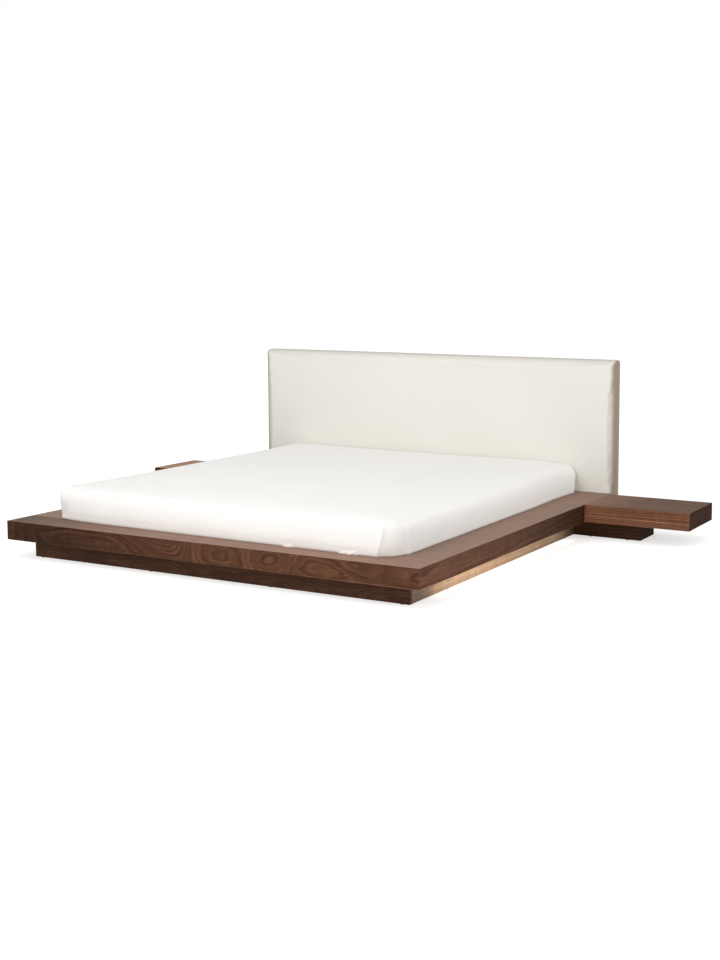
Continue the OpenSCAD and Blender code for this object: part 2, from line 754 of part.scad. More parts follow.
module headboard_brackets() {
    color(steel) difference() {
        both_sides() translate([hb_leg_x - bracket_w / 2, 0, 0]) {
            block([0, face_y - bracket_reach, rail_z - steel_t], [bracket_w, hb_leg_y, rail_z]);
            block([0, hb_leg_y - steel_t, rail_z - bracket_h], [bracket_w, hb_leg_y, rail_z]);
        }
        at_bracket_screws() screw(fit_gap);
        at_bolts() cylinder(r = bolt_r + fit_gap, h = 40, center = true);
    }
}
module headboard_bolts() {
    color(steel) at_bolts() {
        translate([0, 0, -steel_t]) cylinder(r = bolt_r, h = steel_t + hb_leg_d + bolt_head_h);
        translate([0, 0, -steel_t - bolt_head_h]) cylinder(r = bolt_head_r, h = bolt_head_h, $fn = 6);
        translate([0, 0, hb_leg_d]) cylinder(r = bolt_head_r, h = bolt_head_h - 1, $fn = 6);
    }
}

mattress_cover();
mattress_comfort_foam();
mattress_core();
foot_rail();
foot_rail_inner_board();
side_rail_left();
side_rail_right();
side_rail_inner_board_left();
side_rail_inner_board_right();
side_rail_blocks();
head_rail();
plinth_foot_board();
plinth_head_board();
plinth_side_left();
plinth_side_right();
plinth_cross_front();
plinth_cross_rear();
plinth_corner_blocks();
floor_glides();
nightstand_left();
nightstand_right();
nightstand_inner_board_left();
nightstand_inner_board_right();
nightstand_base_left();
nightstand_base_right();
slat_ledge_left();
slat_ledge_right();
centre_beam();
centre_leg_front();
centre_leg_middle();
centre_leg_rear();
centre_leg_feet();
beam_hangers();
slat_side_holders();
slat_centre_holders();
for (row = [0:slat_rows - 1]) slat_row(row);
joining_plates();
plate_screws();
dowels();
headboard_top_rail();
headboard_bottom_rail();
headboard_stiles();
headboard_legs();
headboard_panel();
headboard_foam();
headboard_cover();
headboard_back_cloth();
headboard_brackets();
headboard_bolts();
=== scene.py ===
import math

import bmesh
import bpy
import numpy as np
from mathutils import Matrix, Vector, noise
from mathutils.bvhtree import BVHTree


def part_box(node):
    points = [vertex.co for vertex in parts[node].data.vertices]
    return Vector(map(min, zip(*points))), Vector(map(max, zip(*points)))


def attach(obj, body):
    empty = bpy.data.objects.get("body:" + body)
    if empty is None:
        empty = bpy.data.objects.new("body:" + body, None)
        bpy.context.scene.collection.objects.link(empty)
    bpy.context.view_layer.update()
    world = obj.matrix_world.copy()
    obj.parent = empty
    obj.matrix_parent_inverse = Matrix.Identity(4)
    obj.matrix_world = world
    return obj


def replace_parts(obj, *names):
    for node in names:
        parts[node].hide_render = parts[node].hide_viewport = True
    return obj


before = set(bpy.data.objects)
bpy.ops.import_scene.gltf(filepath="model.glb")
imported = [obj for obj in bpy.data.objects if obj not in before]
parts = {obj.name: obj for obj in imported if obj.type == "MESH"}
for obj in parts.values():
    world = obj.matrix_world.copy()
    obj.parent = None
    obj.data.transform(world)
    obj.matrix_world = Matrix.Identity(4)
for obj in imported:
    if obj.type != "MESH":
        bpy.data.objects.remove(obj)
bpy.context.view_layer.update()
scene = bpy.context.scene
scene.view_settings.view_transform = "Standard"


# Camera: it stands off the right foot corner of the bed at chest height and looks across it to
# the far end of the headboard, with a short telephoto lens. The picture is 720 by 960 pixels,
# and the middle of the lens falls right of and above the middle of the picture.
picture_w, picture_h = 720, 960
focal_px, lens_px_x, lens_px_y = 1356.0, 463.8, 415.1
camera_at = Vector((3.800, -5.866, 1.377))
yaw, down, lean = math.radians(27.37), math.radians(5.92), math.radians(0.18)

forward = Vector((-math.sin(yaw) * math.cos(down), math.cos(yaw) * math.cos(down), -math.sin(down)))
right = Vector((math.cos(yaw), math.sin(yaw), 0))
above = right.cross(forward)
right, above = right * math.cos(lean) + above * math.sin(lean), above * math.cos(lean) - right * math.sin(lean)

camera_data = bpy.data.cameras.new("camera")
camera_data.sensor_width = 36.0
camera_data.lens = focal_px * camera_data.sensor_width / picture_h
camera_data.shift_x = (picture_w / 2 - lens_px_x) / picture_h
camera_data.shift_y = (lens_px_y - picture_h / 2) / picture_h
camera_data.clip_end = 200.0
camera = bpy.data.objects.new("camera", camera_data)
scene.collection.objects.link(camera)
turned = Matrix((right, above, -forward)).transposed().to_4x4()
camera.matrix_world = Matrix.Translation(camera_at) @ turned
scene.camera = camera


# Plinth: four veneered boards set back under the rails, so that the bed seems to float. Flat-cut
# walnut veneer under a satin lacquer: brown with darker growth lines that run the length of each
# board, and a weak sheen that shows at a low angle.
def hex_colour(text):
    """An sRGB hex colour as the linear colour that a shader takes."""
    parts_of = [int(text[i:i + 2], 16) / 255 for i in (1, 3, 5)]
    return [c / 12.92 if c <= 0.04045 else ((c + 0.055) / 1.055) ** 2.4 for c in parts_of] + [1.0]


def add(tree, kind, takes=None, **settings):
    """Adds a node with its settings. takes gives each input a link or a value, by name or number."""
    node = tree.nodes.new("ShaderNode" + kind)
    for key, value in settings.items():
        setattr(node, key, value)
    for key, value in (takes or {}).items():
        if isinstance(value, bpy.types.NodeSocket):
            tree.links.new(value, node.inputs[key])
        else:
            node.inputs[key].default_value = value
    return node


def new_material(name, takes):
    """A material with a Principled shader, and its node tree. takes sets the shader's own sockets."""
    material = bpy.data.materials.new(name)
    material.use_nodes = True
    tree = material.node_tree
    tree.nodes.clear()
    shader = add(tree, "BsdfPrincipled", takes)
    add(tree, "OutputMaterial", {"Surface": shader.outputs[0]})
    return material, tree, shader


def dress(material, *names):
    """Gives CAD nodes their finish, in every slot that they have."""
    for name in names:
        for i in range(len(parts[name].material_slots)):
            parts[name].material_slots[i].material = material


# A pale grey-pink that the tops are mixed towards as painted sheen.
painted_sheen_tint = "#e3cfbf"


def timber(name, along, colours, ring, heart, depth, sway, seed, whorls=(), streaks=(),
           streak_span=(-9.0, 9.0), gloss=0.55, sheen=0.05, crisp=0.7, uneven=0.5, edge=0.2, wander=2.0,
           slant=0.0, top_painted_sheen_tone=1.0, top_painted_sheen_grey=0.0, end_painted_light_shade=1.0, painted_falloff_along=(0.0, 1.0, 1.0, 1.0),
           top_painted_falloff_along=(0.0, 1.0, 1.0, 1.0)):
    """Lacquered or bare wood cut from a log: growth rings round a heart line, met by each face.
    along is the axis the fibres run on. Lengths are in metres: ring is the spacing of the rings,
    heart how far the heart lies beside the board, depth how far behind its face, sway how much that
    depth changes along the board, and slant how much the fibres climb along it. Flat cuts have
    their heart close by, quarter cuts far off. A whorl is a place along and across the board, its
    reach each way, how many rings it adds and its tilt in degrees. A streak is a pale line: its
    height at the middle of the bed, its half width, how much it wavers and how much it climbs.
    top_painted_sheen_tone and end_painted_light_shade paint light and shade into the leaves on the top and on the
    ends: the top paler, as the sheen that a low view sees on it, and the ends paler or darker, as the light and
    shade that fall on them. top_painted_sheen_grey paints that sheen on the top as a mix towards a pale grey-pink.
    drift is two places along the board and its tone at each, between which the tone changes as painted light and
    shade falling off along it, and top_painted_falloff_along is the same for the leaf on the top."""
    material, tree, shader = new_material(name, {"IOR": 1.5, "Specular IOR Level": sheen})
    place = add(tree, "SeparateXYZ", {0: add(tree, "TexCoord").outputs["Object"]}).outputs
    facing = add(tree, "VectorMath", {0: add(tree, "NewGeometry").outputs["True Normal"]}, operation="ABSOLUTE")
    facing = add(tree, "SeparateXYZ", {0: facing.outputs[0]}).outputs
    a, b = (0, 1) if along == "X" else (1, 0)
    flat = add(tree, "Math", {0: facing[2], 1: 0.6}, operation="GREATER_THAN").outputs[0]
    end = add(tree, "Math", {0: facing[a], 1: 0.6}, operation="GREATER_THAN").outputs[0]
    u = add(tree, "Mix", {0: end, 2: place[a], 3: place[b]}, data_type="FLOAT").outputs[0]
    v = add(tree, "Mix", {0: flat, 2: place[2], 3: place[b]}, data_type="FLOAT").outputs[0]
    sheet = add(tree, "Math", {0: flat, 1: 2.7, 2: seed}, operation="MULTIPLY_ADD").outputs[0]
    sheet = add(tree, "Math", {0: end, 1: 5.3, 2: sheet}, operation="MULTIPLY_ADD").outputs[0]
    board = add(tree, "CombineXYZ", {0: u, 1: v, 2: sheet}).outputs[0]

    # The heart line comes nearer and goes farther along the log, which draws the arches.
    slow = add(tree, "Mapping", {0: board, 3: (1.6, 0.3, 1.0)}).outputs[0]
    near = add(tree, "TexNoise", {0: slow, "Scale": 1.0, "Detail": 1.5, "Roughness": 0.45}).outputs[0]
    near = add(tree, "Math", {0: near, 1: 2 * sway, 2: depth - sway}, operation="MULTIPLY_ADD").outputs[0]
    side = add(tree, "Mapping", {0: board, 1: (4.0, 1.0, 9.0), 3: (0.9, 0.0, 1.0)}).outputs[0]
    side = add(tree, "TexNoise", {0: side, "Scale": 1.0, "Detail": 1.0}).outputs[0]
    side = add(tree, "Math", {0: side, 1: 0.05, 2: -heart - 0.025}, operation="MULTIPLY_ADD").outputs[0]
    side = add(tree, "Math", {0: v, 1: side}, operation="ADD").outputs[0]
    side = add(tree, "Math", {0: u, 1: -slant, 2: side}, operation="MULTIPLY_ADD").outputs[0]
    span = add(tree, "CombineXYZ", {0: side, 1: near}).outputs[0]
    round_heart = add(tree, "VectorMath", {0: span}, operation="LENGTH").outputs["Value"]
    rings = add(tree, "Math", {0: round_heart, 1: 1 / ring}, operation="MULTIPLY").outputs[0]
    for at_u, at_v, reach_u, reach_v, rise, tilt in whorls:
        away = add(tree, "Mapping", {0: board, 1: (at_u, at_v, 0), 2: (0, 0, math.radians(tilt)),
                                     3: (reach_u, reach_v, 1)}, vector_type="TEXTURE")
        away = add(tree, "VectorMath", {0: away.outputs[0], 1: (1, 1, 0)}, operation="MULTIPLY").outputs[0]
        away = add(tree, "VectorMath", {0: away, 1: away}, operation="DOT_PRODUCT").outputs["Value"]
        away = add(tree, "Math", {0: 0.37, 1: away}, operation="POWER").outputs[0]
        away = add(tree, "Mix", {0: end, 2: away, 3: 0.0}, data_type="FLOAT").outputs[0]
        rings = add(tree, "Math", {0: away, 1: rise, 2: rings}, operation="MULTIPLY_ADD").outputs[0]
    wobble = add(tree, "Mapping", {0: board, 3: (6.0, 22.0, 1.0)}).outputs[0]
    wobble = add(tree, "TexNoise", {0: wobble, "Scale": 1.0, "Detail": 3.0, "Roughness": 0.5}).outputs[0]
    rings = add(tree, "Math", {0: wobble, 1: wander, 2: rings}, operation="MULTIPLY_ADD").outputs[0]
    year = add(tree, "Math", {0: rings, 1: 1.0}, operation="FRACT").outputs[0]

    # Each ring darkens slowly to its late wood and then starts again pale. The rings are unlike:
    # good and poor years come in bands several rings wide.
    late = add(tree, "FloatCurve", {1: year})
    points = late.mapping.curves[0].points
    points[0].location, points[1].location = (0.0, 0.6), (1.0, 0.68)
    for x, y in ((0.15, 0.25), (0.45, 0.3), (0.7, 0.5), (0.88, 0.9)):
        points.new(x, y)
    late.mapping.update()
    years = add(tree, "TexNoise", {"W": rings, "Scale": 0.8, "Detail": 3.0, "Roughness": 0.7},
                noise_dimensions="1D").outputs[0]
    years = add(tree, "MapRange", {0: years, 1: 0.3, 2: 0.7}).outputs[0]
    late = add(tree, "Mix", {0: uneven, 2: late.outputs[0], 3: years}, data_type="FLOAT").outputs[0]
    strength = add(tree, "Mapping", {0: board, 3: (3.0, 16.0, 1.0)}).outputs[0]
    strength = add(tree, "TexNoise", {0: strength, "Scale": 1.0, "Detail": 2.0}).outputs[0]
    strength = add(tree, "MapRange", {0: strength, 1: 0.3, 2: 0.7, 3: 0.3 * crisp, 4: crisp}).outputs[0]
    late = add(tree, "Mix", {0: strength, 2: 0.45, 3: late}, data_type="FLOAT").outputs[0]

    # Fibres and open pores run with the grain: bundles 4 mm wide and 120 mm long that split into
    # finer ones, and pores 0.4 mm wide and 15 mm long.
    fibre = add(tree, "Mapping", {0: board, 3: (8.0, 260.0, 1.0)}).outputs[0]
    fibre = add(tree, "TexNoise", {0: fibre, "Scale": 1.0, "Detail": 4.0, "Roughness": 0.6}).outputs[0]
    pore = add(tree, "Mapping", {0: board, 3: (66.0, 2400.0, 1.0)}).outputs[0]
    pore = add(tree, "TexNoise", {0: pore, "Scale": 1.0, "Detail": 1.0}).outputs[0]
    pore = add(tree, "MapRange", {0: pore, 1: 0.6, 2: 0.72, 3: 0.0, 4: 1.0}).outputs[0]
    tone = add(tree, "Math", {0: fibre, 1: 0.6, 2: -0.3}, operation="MULTIPLY_ADD").outputs[0]
    tone = add(tree, "Math", {0: tone, 1: late}, operation="ADD").outputs[0]
    ramp = add(tree, "ValToRGB", {0: tone})
    dark, brown, pale = [hex_colour(colour) for colour in colours]
    stops = ramp.color_ramp.elements
    stops[0].color, stops[1].color = pale, dark
    stops[0].position, stops[1].position = 0.08, 0.95
    stops.new(0.45).color = brown
    broad = add(tree, "Mapping", {0: board, 1: (2.0, 5.0, 3.0), 3: (1.3, 9.0, 1.0)}).outputs[0]
    broad = add(tree, "TexNoise", {0: broad, "Scale": 1.0, "Detail": 2.0}).outputs[0]
    broad = add(tree, "MapRange", {0: broad, 1: 0.3, 2: 0.7, 3: 0.84, 4: 1.16}).outputs[0]
    mottle = add(tree, "Mapping", {0: board, 3: (22.0, 7.0, 1.0)}).outputs[0]
    mottle = add(tree, "TexNoise", {0: mottle, "Scale": 1.0, "Detail": 2.0, "Distortion": 0.6}).outputs[0]
    broad = add(tree, "Math", {0: mottle, 1: 0.5, 2: broad}, operation="MULTIPLY_ADD").outputs[0]
    broad = add(tree, "Math", {0: broad, 1: 0.25}, operation="SUBTRACT").outputs[0]
    broad = add(tree, "Math", {0: pore, 1: -0.3, 2: broad}, operation="MULTIPLY_ADD").outputs[0]
    # Painted light and shade: the leaf on the top is made paler, as the sheen that a low view sees there, and the
    # leaf on each end paler or darker, as the light and shade that fall on it.
    for faces, leaf in ((flat, top_painted_sheen_tone), (end, end_painted_light_shade)):
        leaf = add(tree, "MapRange", {0: faces, 3: 1.0, 4: leaf}).outputs[0]
        broad = add(tree, "Math", {0: broad, 1: leaf}, operation="MULTIPLY").outputs[0]
    # Painted light and shade: the tone changes along the board between two places, as the light falls off towards
    # the far end and into the corners.
    painted_falloff_ramps = [add(tree, "MapRange", {0: place[a], 1: way[0], 2: way[1], 3: way[2], 4: way[3]}).outputs[0]
              for way in (painted_falloff_along, top_painted_falloff_along)]
    painted_falloff_ramp = add(tree, "Mix", {0: flat, 2: painted_falloff_ramps[0], 3: painted_falloff_ramps[1]}, data_type="FLOAT").outputs[0]
    broad = add(tree, "Math", {0: broad, 1: painted_falloff_ramp}, operation="MULTIPLY").outputs[0]
    for at_v, half_w, waver, climb in streaks:
        off = add(tree, "Math", {0: v, 1: at_v - waver / 2}, operation="SUBTRACT").outputs[0]
        off = add(tree, "Math", {0: wobble, 1: waver, 2: off}, operation="MULTIPLY_ADD").outputs[0]
        off = add(tree, "Math", {0: u, 1: -climb, 2: off}, operation="MULTIPLY_ADD").outputs[0]
        off = add(tree, "Math", {0: off}, operation="ABSOLUTE").outputs[0]
        for limit, beyond in zip(streak_span, ("LESS_THAN", "GREATER_THAN")):
            ended = add(tree, "Math", {0: place[a], 1: limit}, operation=beyond).outputs[0]
            off = add(tree, "Math", {0: ended, 1: off}, operation="ADD").outputs[0]
        off = add(tree, "MapRange", {0: off, 1: half_w, 2: 0.3 * half_w, 3: 0.0, 4: 1.1}).outputs[0]
        broad = add(tree, "Math", {0: broad, 1: off}, operation="ADD").outputs[0]

    # Hands and bedding rub the eased edges paler: they are the faces that look along no axis.
    worn = add(tree, "Math", {0: facing[0], 1: facing[1]}, operation="MAXIMUM").outputs[0]
    worn = add(tree, "Math", {0: worn, 1: facing[2]}, operation="MAXIMUM").outputs[0]
    worn = add(tree, "MapRange", {0: worn, 1: 0.98, 2: 0.75, 3: 1.0, 4: 1.0 + edge}).outputs[0]
    broad = add(tree, "Math", {0: broad, 1: worn}, operation="MULTIPLY").outputs[0]
    colour = add(tree, "VectorMath", {0: ramp.outputs[0], 3: broad}, operation="SCALE").outputs[0]
    # Painted sheen: the top faces are mixed towards a pale grey-pink, as the reflection that a low view sees on
    # them. The painted falloff along the board darkens it too.
    painted_sheen_share = add(tree, "Math", {0: flat, 1: top_painted_sheen_grey}, operation="MULTIPLY").outputs[0]
    painted_sheen_colour = add(tree, "VectorMath", {0: hex_colour(painted_sheen_tint)[:3], 3: painted_falloff_ramp}, operation="SCALE").outputs[0]
    colour = add(tree, "Mix", {0: painted_sheen_share, 6: colour, 7: painted_sheen_colour}, data_type="RGBA").outputs[2]
    tree.links.new(colour, shader.inputs["Base Color"])
    rough = add(tree, "MapRange", {0: fibre, 1: 0.3, 2: 0.7, 3: gloss - 0.05, 4: gloss + 0.07}).outputs[0]
    tree.links.new(rough, shader.inputs["Roughness"])
    relief = add(tree, "Math", {0: pore, 1: -0.8, 2: fibre}, operation="MULTIPLY_ADD").outputs[0]
    relief = add(tree, "Bump", {"Strength": 0.25, "Distance": 0.0002, "Height": relief}).outputs[0]
    tree.links.new(relief, shader.inputs["Normal"])
    return material


walnut = ("#352117", "#5a3b2b", "#80573f")
plinth_walnut = ("#2a1a13", "#452e22", "#664636")
# The plinth's side boards take a paler, greyer copy of its walnut as painted light, for the warm light from under
# the rail. Their tone falls off towards the head as painted shade.
painted_lit_plinth_walnut = ("#54473a", "#786756", "#988671")
plinth_along_x = timber("walnut_veneer_plinth_x", "X", plinth_walnut, 0.010, 0.02, 0.03, 0.06, 3.4, crisp=0.5)
plinth_along_y = timber("walnut_veneer_plinth_y", "Y", painted_lit_plinth_walnut, 0.009, -0.12, 0.05, 0.04, 8.1, crisp=0.5,
                         painted_falloff_along=(-0.5, 0.5, 1.0, 0.45))
dress(plinth_along_x, "plinth_foot_board", "plinth_head_board", "plinth_cross_front", "plinth_cross_rear")
dress(plinth_along_y, "plinth_side_left", "plinth_side_right")


# Glue blocks and glides: pine blocks glued in the plinth's corners and inside the side rails, and
# turned black plastic glides pushed into the boards, so that the plinth clears the floor by 3 mm.
pine = ("#b98a55", "#d3a973", "#e4c597")
pine_along_x = timber("planed_pine_x", "X", pine, 0.006, 0.05, 0.04, 0.02, 1.2, gloss=0.6, edge=0.0)
pine_along_y = timber("planed_pine_y", "Y", pine, 0.006, 0.05, 0.04, 0.02, 6.6, gloss=0.6, edge=0.0)
dress(pine_along_y, "plinth_corner_blocks", "side_rail_blocks")


def moulded(name, colour, gloss, grain_mm):
    """Injection-moulded plastic: one colour, a fine spark-eroded grain, and slight flow shading."""
    material, tree, shader = new_material(name, {"IOR": 1.5})
    spot = add(tree, "TexCoord").outputs["Object"]
    flow = add(tree, "TexNoise", {0: spot, "Scale": 14.0, "Detail": 2.0}).outputs[0]
    shade = add(tree, "ValToRGB", {0: flow})
    base = hex_colour(colour)
    stops = shade.color_ramp.elements
    stops[0].color, stops[1].color = [[k * c for c in base[:3]] + [1.0] for k in (0.8, 1.2)]
    tree.links.new(shade.outputs[0], shader.inputs["Base Color"])
    grain = add(tree, "TexNoise", {0: spot, "Scale": 1000 / grain_mm, "Detail": 1.0}).outputs[0]
    rough = add(tree, "MapRange", {0: grain, 1: 0.3, 2: 0.7, 3: gloss - 0.06, 4: gloss + 0.06}).outputs[0]
    tree.links.new(rough, shader.inputs["Roughness"])
    skin = add(tree, "Bump", {"Strength": 0.3, "Distance": 0.0001, "Height": grain}).outputs[0]
    tree.links.new(skin, shader.inputs["Normal"])
    return material


black_plastic = moulded("moulded_black_plastic", "#1b1b1c", 0.5, 0.8)
dress(black_plastic, "floor_glides", "centre_leg_feet", "slat_side_holders", "slat_centre_holders")


# Foot rail: a casing of veneered boards folded round a timber core, 2290 mm long, with its front
# veneer laid in one piece. The flat cut shows arches and two whorls where the log had branches.
# Painted light and shade: the top is paler and greyer as the sheen that a low view sees on it, the ends paler, and
# the front and top darker towards the left as the light falls off.
foot_veneer = timber("walnut_veneer_foot", "X", walnut, 0.016, 0.135, 0.05, 0.03, 0.7, wander=1.8, crisp=0.9,
                     whorls=((-0.20, 0.172, 0.21, 0.075, 8.0, -16), (0.40, 0.142, 0.13, 0.062, 6.0, 6),
                             (0.86, 0.150, 0.16, 0.05, 3.0, -8), (-1.22, 0.14, 0.22, 0.06, 4.0, 0)),
                     streaks=((0.107, 0.0016, 0.012, 0.0),), streak_span=(0.6, 9.0), top_painted_sheen_tone=1.6, top_painted_sheen_grey=0.18,
                     end_painted_light_shade=1.15, painted_falloff_along=(-0.75, 0.0, 0.40, 0.87), top_painted_falloff_along=(-1.1, -0.35, 0.42, 1.0))
dress(foot_veneer, "foot_rail")
dress(pine_along_x, "foot_rail_inner_board")


# Side rails and head rail: casings like the foot rail's, butted against it and let under the
# mattress. Their veneer is cut nearer the quarter, so the growth lines are close and nearly straight.
# Painted light and shade: the tops of the side rails are paler and greyer as the sheen that a low view sees there,
# and the rails darker towards the head as the light falls off into the corner by the nightstands.
side_veneer = timber("walnut_veneer_side", "Y", walnut, 0.0115, -0.08, 0.05, 0.10, 4.9, crisp=1.15, uneven=0.35,
                     wander=0.8, slant=0.03, top_painted_sheen_tone=1.27, top_painted_sheen_grey=0.2, painted_falloff_along=(-0.9, 0.5, 1.17, 0.34))
head_veneer = timber("walnut_veneer_head", "X", walnut, 0.010, 0.05, 0.05, 0.03, 2.3)
dress(side_veneer, "side_rail_left", "side_rail_right")
dress(head_veneer, "head_rail")
dress(pine_along_y, "side_rail_inner_board_left", "side_rail_inner_board_right")


# Nightstands: slabs of the same build bolted to the side rails, each on a set-back base of four
# boards. The veneer is quarter cut, with one pale line of sapwood halfway up the front edge.
stand_walnut = ("#41291e", "#704b38", "#95694e")
# Painted light and shade: the front and top of each nightstand change tone along it as the light falls on it, the
# top is mixed towards pale grey as sheen, and the ends are much darker as shade.
for side, seed, painted_falloff_faces, painted_falloff_top in (("right", 7.7, (1.1, 1.7, 1.15, 1.05), (1.17, 1.4, 0.98, 0.60)),
                                     ("left", 2.9, (-1.7, -1.2, 0.33, 0.8), (-1.7, -1.2, 1.55, 1.55))):
    stand_veneer = timber(f"walnut_veneer_nightstand_{side}", "X", stand_walnut, 0.0085, 0.42, 0.05, 0.05, seed,
                          streaks=((0.147, 0.0022, 0.002, -0.0125),), streak_span=(-1.71, 1.71), sheen=0.012,
                          crisp=1.1, uneven=0.4, wander=0.7, top_painted_sheen_grey=0.13, end_painted_light_shade=0.19,
                          painted_falloff_along=painted_falloff_faces, top_painted_falloff_along=painted_falloff_top)
    dress(stand_veneer, f"nightstand_{side}")
# The ends of the bases are painted darker as shade.
base_veneer = timber("walnut_veneer_base", "X", plinth_walnut, 0.008, 0.16, 0.03, 0.04, 9.3, crisp=0.5,
                     sheen=0.012, end_painted_light_shade=0.6)
dress(base_veneer, "nightstand_base_left", "nightstand_base_right")
dress(pine_along_y, "nightstand_inner_board_left", "nightstand_inner_board_right")


# Ledges, centre beam and dowels, and the headboard's frame, face and legs: planed pine, glued and
# screwed. The ledges and the beam carry the slats, and the dowels hold the rails in line.
dress(pine_along_y, "slat_ledge_left", "slat_ledge_right", "centre_beam")
dress(pine_along_x, "headboard_top_rail", "headboard_bottom_rail", "headboard_panel", "dowels")
dress(pine_along_x, "headboard_stiles", "headboard_legs")


# Slats: pressed from birch veneers 1.5 mm thick, so that they spring upwards by 12 mm. Their edges
# show the glued plies as thin brown lines that follow the bow.
slat_middle, slat_bend, ply_h = 0.46, 0.057, 0.0015


def pressed_birch():
    """Birch ply: pale faces with fine fibres along X, and glue lines on the long edges, which
    follow the bow of the slats of each side about its middle."""
    material, tree, shader = new_material("pressed_birch", {"IOR": 1.5})
    spot = add(tree, "TexCoord").outputs["Object"]
    place = add(tree, "SeparateXYZ", {0: spot}).outputs
    facing = add(tree, "SeparateXYZ", {0: add(tree, "NewGeometry").outputs["True Normal"]}).outputs
    fibre = add(tree, "Mapping", {0: spot, 3: (9.0, 420.0, 60.0)}).outputs[0]
    fibre = add(tree, "TexNoise", {0: fibre, "Scale": 1.0, "Detail": 3.0}).outputs[0]
    shade = add(tree, "ValToRGB", {0: fibre})
    stops = shade.color_ramp.elements
    stops[0].color, stops[1].color = hex_colour("#d2b183"), hex_colour("#ead3ab")
    stops[0].position, stops[1].position = 0.3, 0.7
    half = add(tree, "Math", {0: place[0]}, operation="ABSOLUTE").outputs[0]
    half = add(tree, "Math", {0: half, 1: slat_middle}, operation="SUBTRACT").outputs[0]
    bow = add(tree, "Math", {0: half, 1: half}, operation="MULTIPLY").outputs[0]
    ply = add(tree, "Math", {0: bow, 1: slat_bend, 2: place[2]}, operation="MULTIPLY_ADD").outputs[0]
    ply = add(tree, "Math", {0: ply, 1: 1 / ply_h}, operation="MULTIPLY").outputs[0]
    ply = add(tree, "Math", {0: ply}, operation="FRACT").outputs[0]
    ply = add(tree, "MapRange", {0: ply, 1: 0.1, 2: 0.25, 3: 0.75, 4: 0.0}).outputs[0]
    edge = add(tree, "Math", {0: facing[1]}, operation="ABSOLUTE").outputs[0]
    ply = add(tree, "Math", {0: ply, 1: edge}, operation="MULTIPLY").outputs[0]
    colour = add(tree, "Mix", {0: ply, 6: shade.outputs[0], 7: hex_colour("#8a643c")}, data_type="RGBA").outputs[2]
    tree.links.new(colour, shader.inputs["Base Color"])
    rough = add(tree, "MapRange", {0: fibre, 1: 0.3, 2: 0.7, 3: 0.45, 4: 0.6}).outputs[0]
    tree.links.new(rough, shader.inputs["Roughness"])
    relief = add(tree, "Bump", {"Strength": 0.2, "Distance": 0.0002, "Height": fibre}).outputs[0]
    tree.links.new(relief, shader.inputs["Normal"])
    return material


dress(pressed_birch(), *[f"slat_row_{i:02d}" for i in range(1, 13)])


# Fittings: joining plates, screws, hangers, brackets and bolts are pressed from zinc-plated steel,
# pale grey with the faint patches of the bath. The centre legs are tube of the same steel.
def zinc_plated():
    """Zinc-plated steel: a metal with the patches of its plating bath, duller here and there."""
    material, tree, shader = new_material("zinc_plated_steel", {"Metallic": 1.0})
    spot = add(tree, "TexCoord").outputs["Object"]
    patch = add(tree, "TexVoronoi", {0: spot, "Scale": 160.0, "Randomness": 1.0}).outputs["Color"]
    shade = add(tree, "ValToRGB", {0: patch})
    stops = shade.color_ramp.elements
    stops[0].color, stops[1].color = hex_colour("#a9adb1"), hex_colour("#c9ccce")
    tree.links.new(shade.outputs[0], shader.inputs["Base Color"])
    fog = add(tree, "TexNoise", {0: spot, "Scale": 60.0, "Detail": 3.0}).outputs[0]
    rough = add(tree, "MapRange", {0: fog, 1: 0.3, 2: 0.7, 3: 0.28, 4: 0.45}).outputs[0]
    tree.links.new(rough, shader.inputs["Roughness"])
    return material


zinc_steel = zinc_plated()
dress(zinc_steel, "joining_plates", "plate_screws", "beam_hangers", "headboard_brackets", "headboard_bolts",
      "centre_leg_front", "centre_leg_middle", "centre_leg_rear")


# Headboard foam: a slab glued to the plywood face under the cover. Open-cell foam, cream, with
# pores of about a millimetre.
def link_piece(name, bm, material):
    """Makes an object of a bmesh, its faces turned outwards and shaded smooth."""
    bmesh.ops.recalc_face_normals(bm, faces=bm.faces)
    mesh = bpy.data.meshes.new(name)
    bm.to_mesh(mesh)
    bm.free()
    mesh.polygons.foreach_set("use_smooth", [True] * len(mesh.polygons))
    mesh.materials.append(material)
    piece = bpy.data.objects.new(name, mesh)
    scene.collection.objects.link(piece)
    return piece


def slab(low, high, corner_r, low_r, high_r, axis=2):
    """A slab between two corners as a bmesh. Its four edges along axis are rounded to corner_r, and
    then the rims of its low face and of its high face, across that axis, to low_r and high_r."""
    bm = bmesh.new()
    bmesh.ops.create_cube(bm, size=1.0)
    size, middle = high - low, (low + high) / 2
    bmesh.ops.scale(bm, vec=size, verts=bm.verts)
    bmesh.ops.translate(bm, vec=middle, verts=bm.verts)
    upright = [e for e in bm.edges if abs((e.verts[1].co - e.verts[0].co).normalized()[axis]) > 0.9]
    bmesh.ops.bevel(bm, geom=upright, offset=corner_r, affect="EDGES", segments=8, profile=0.5, material=-1)
    for level, radius in ((low[axis], low_r), (high[axis], high_r)):
        rim = [e for e in bm.edges if all(abs(v.co[axis] - level) < 1e-5 for v in e.verts)]
        bmesh.ops.bevel(bm, geom=rim, offset=radius, affect="EDGES", segments=6, profile=0.5, material=-1)
    return bm


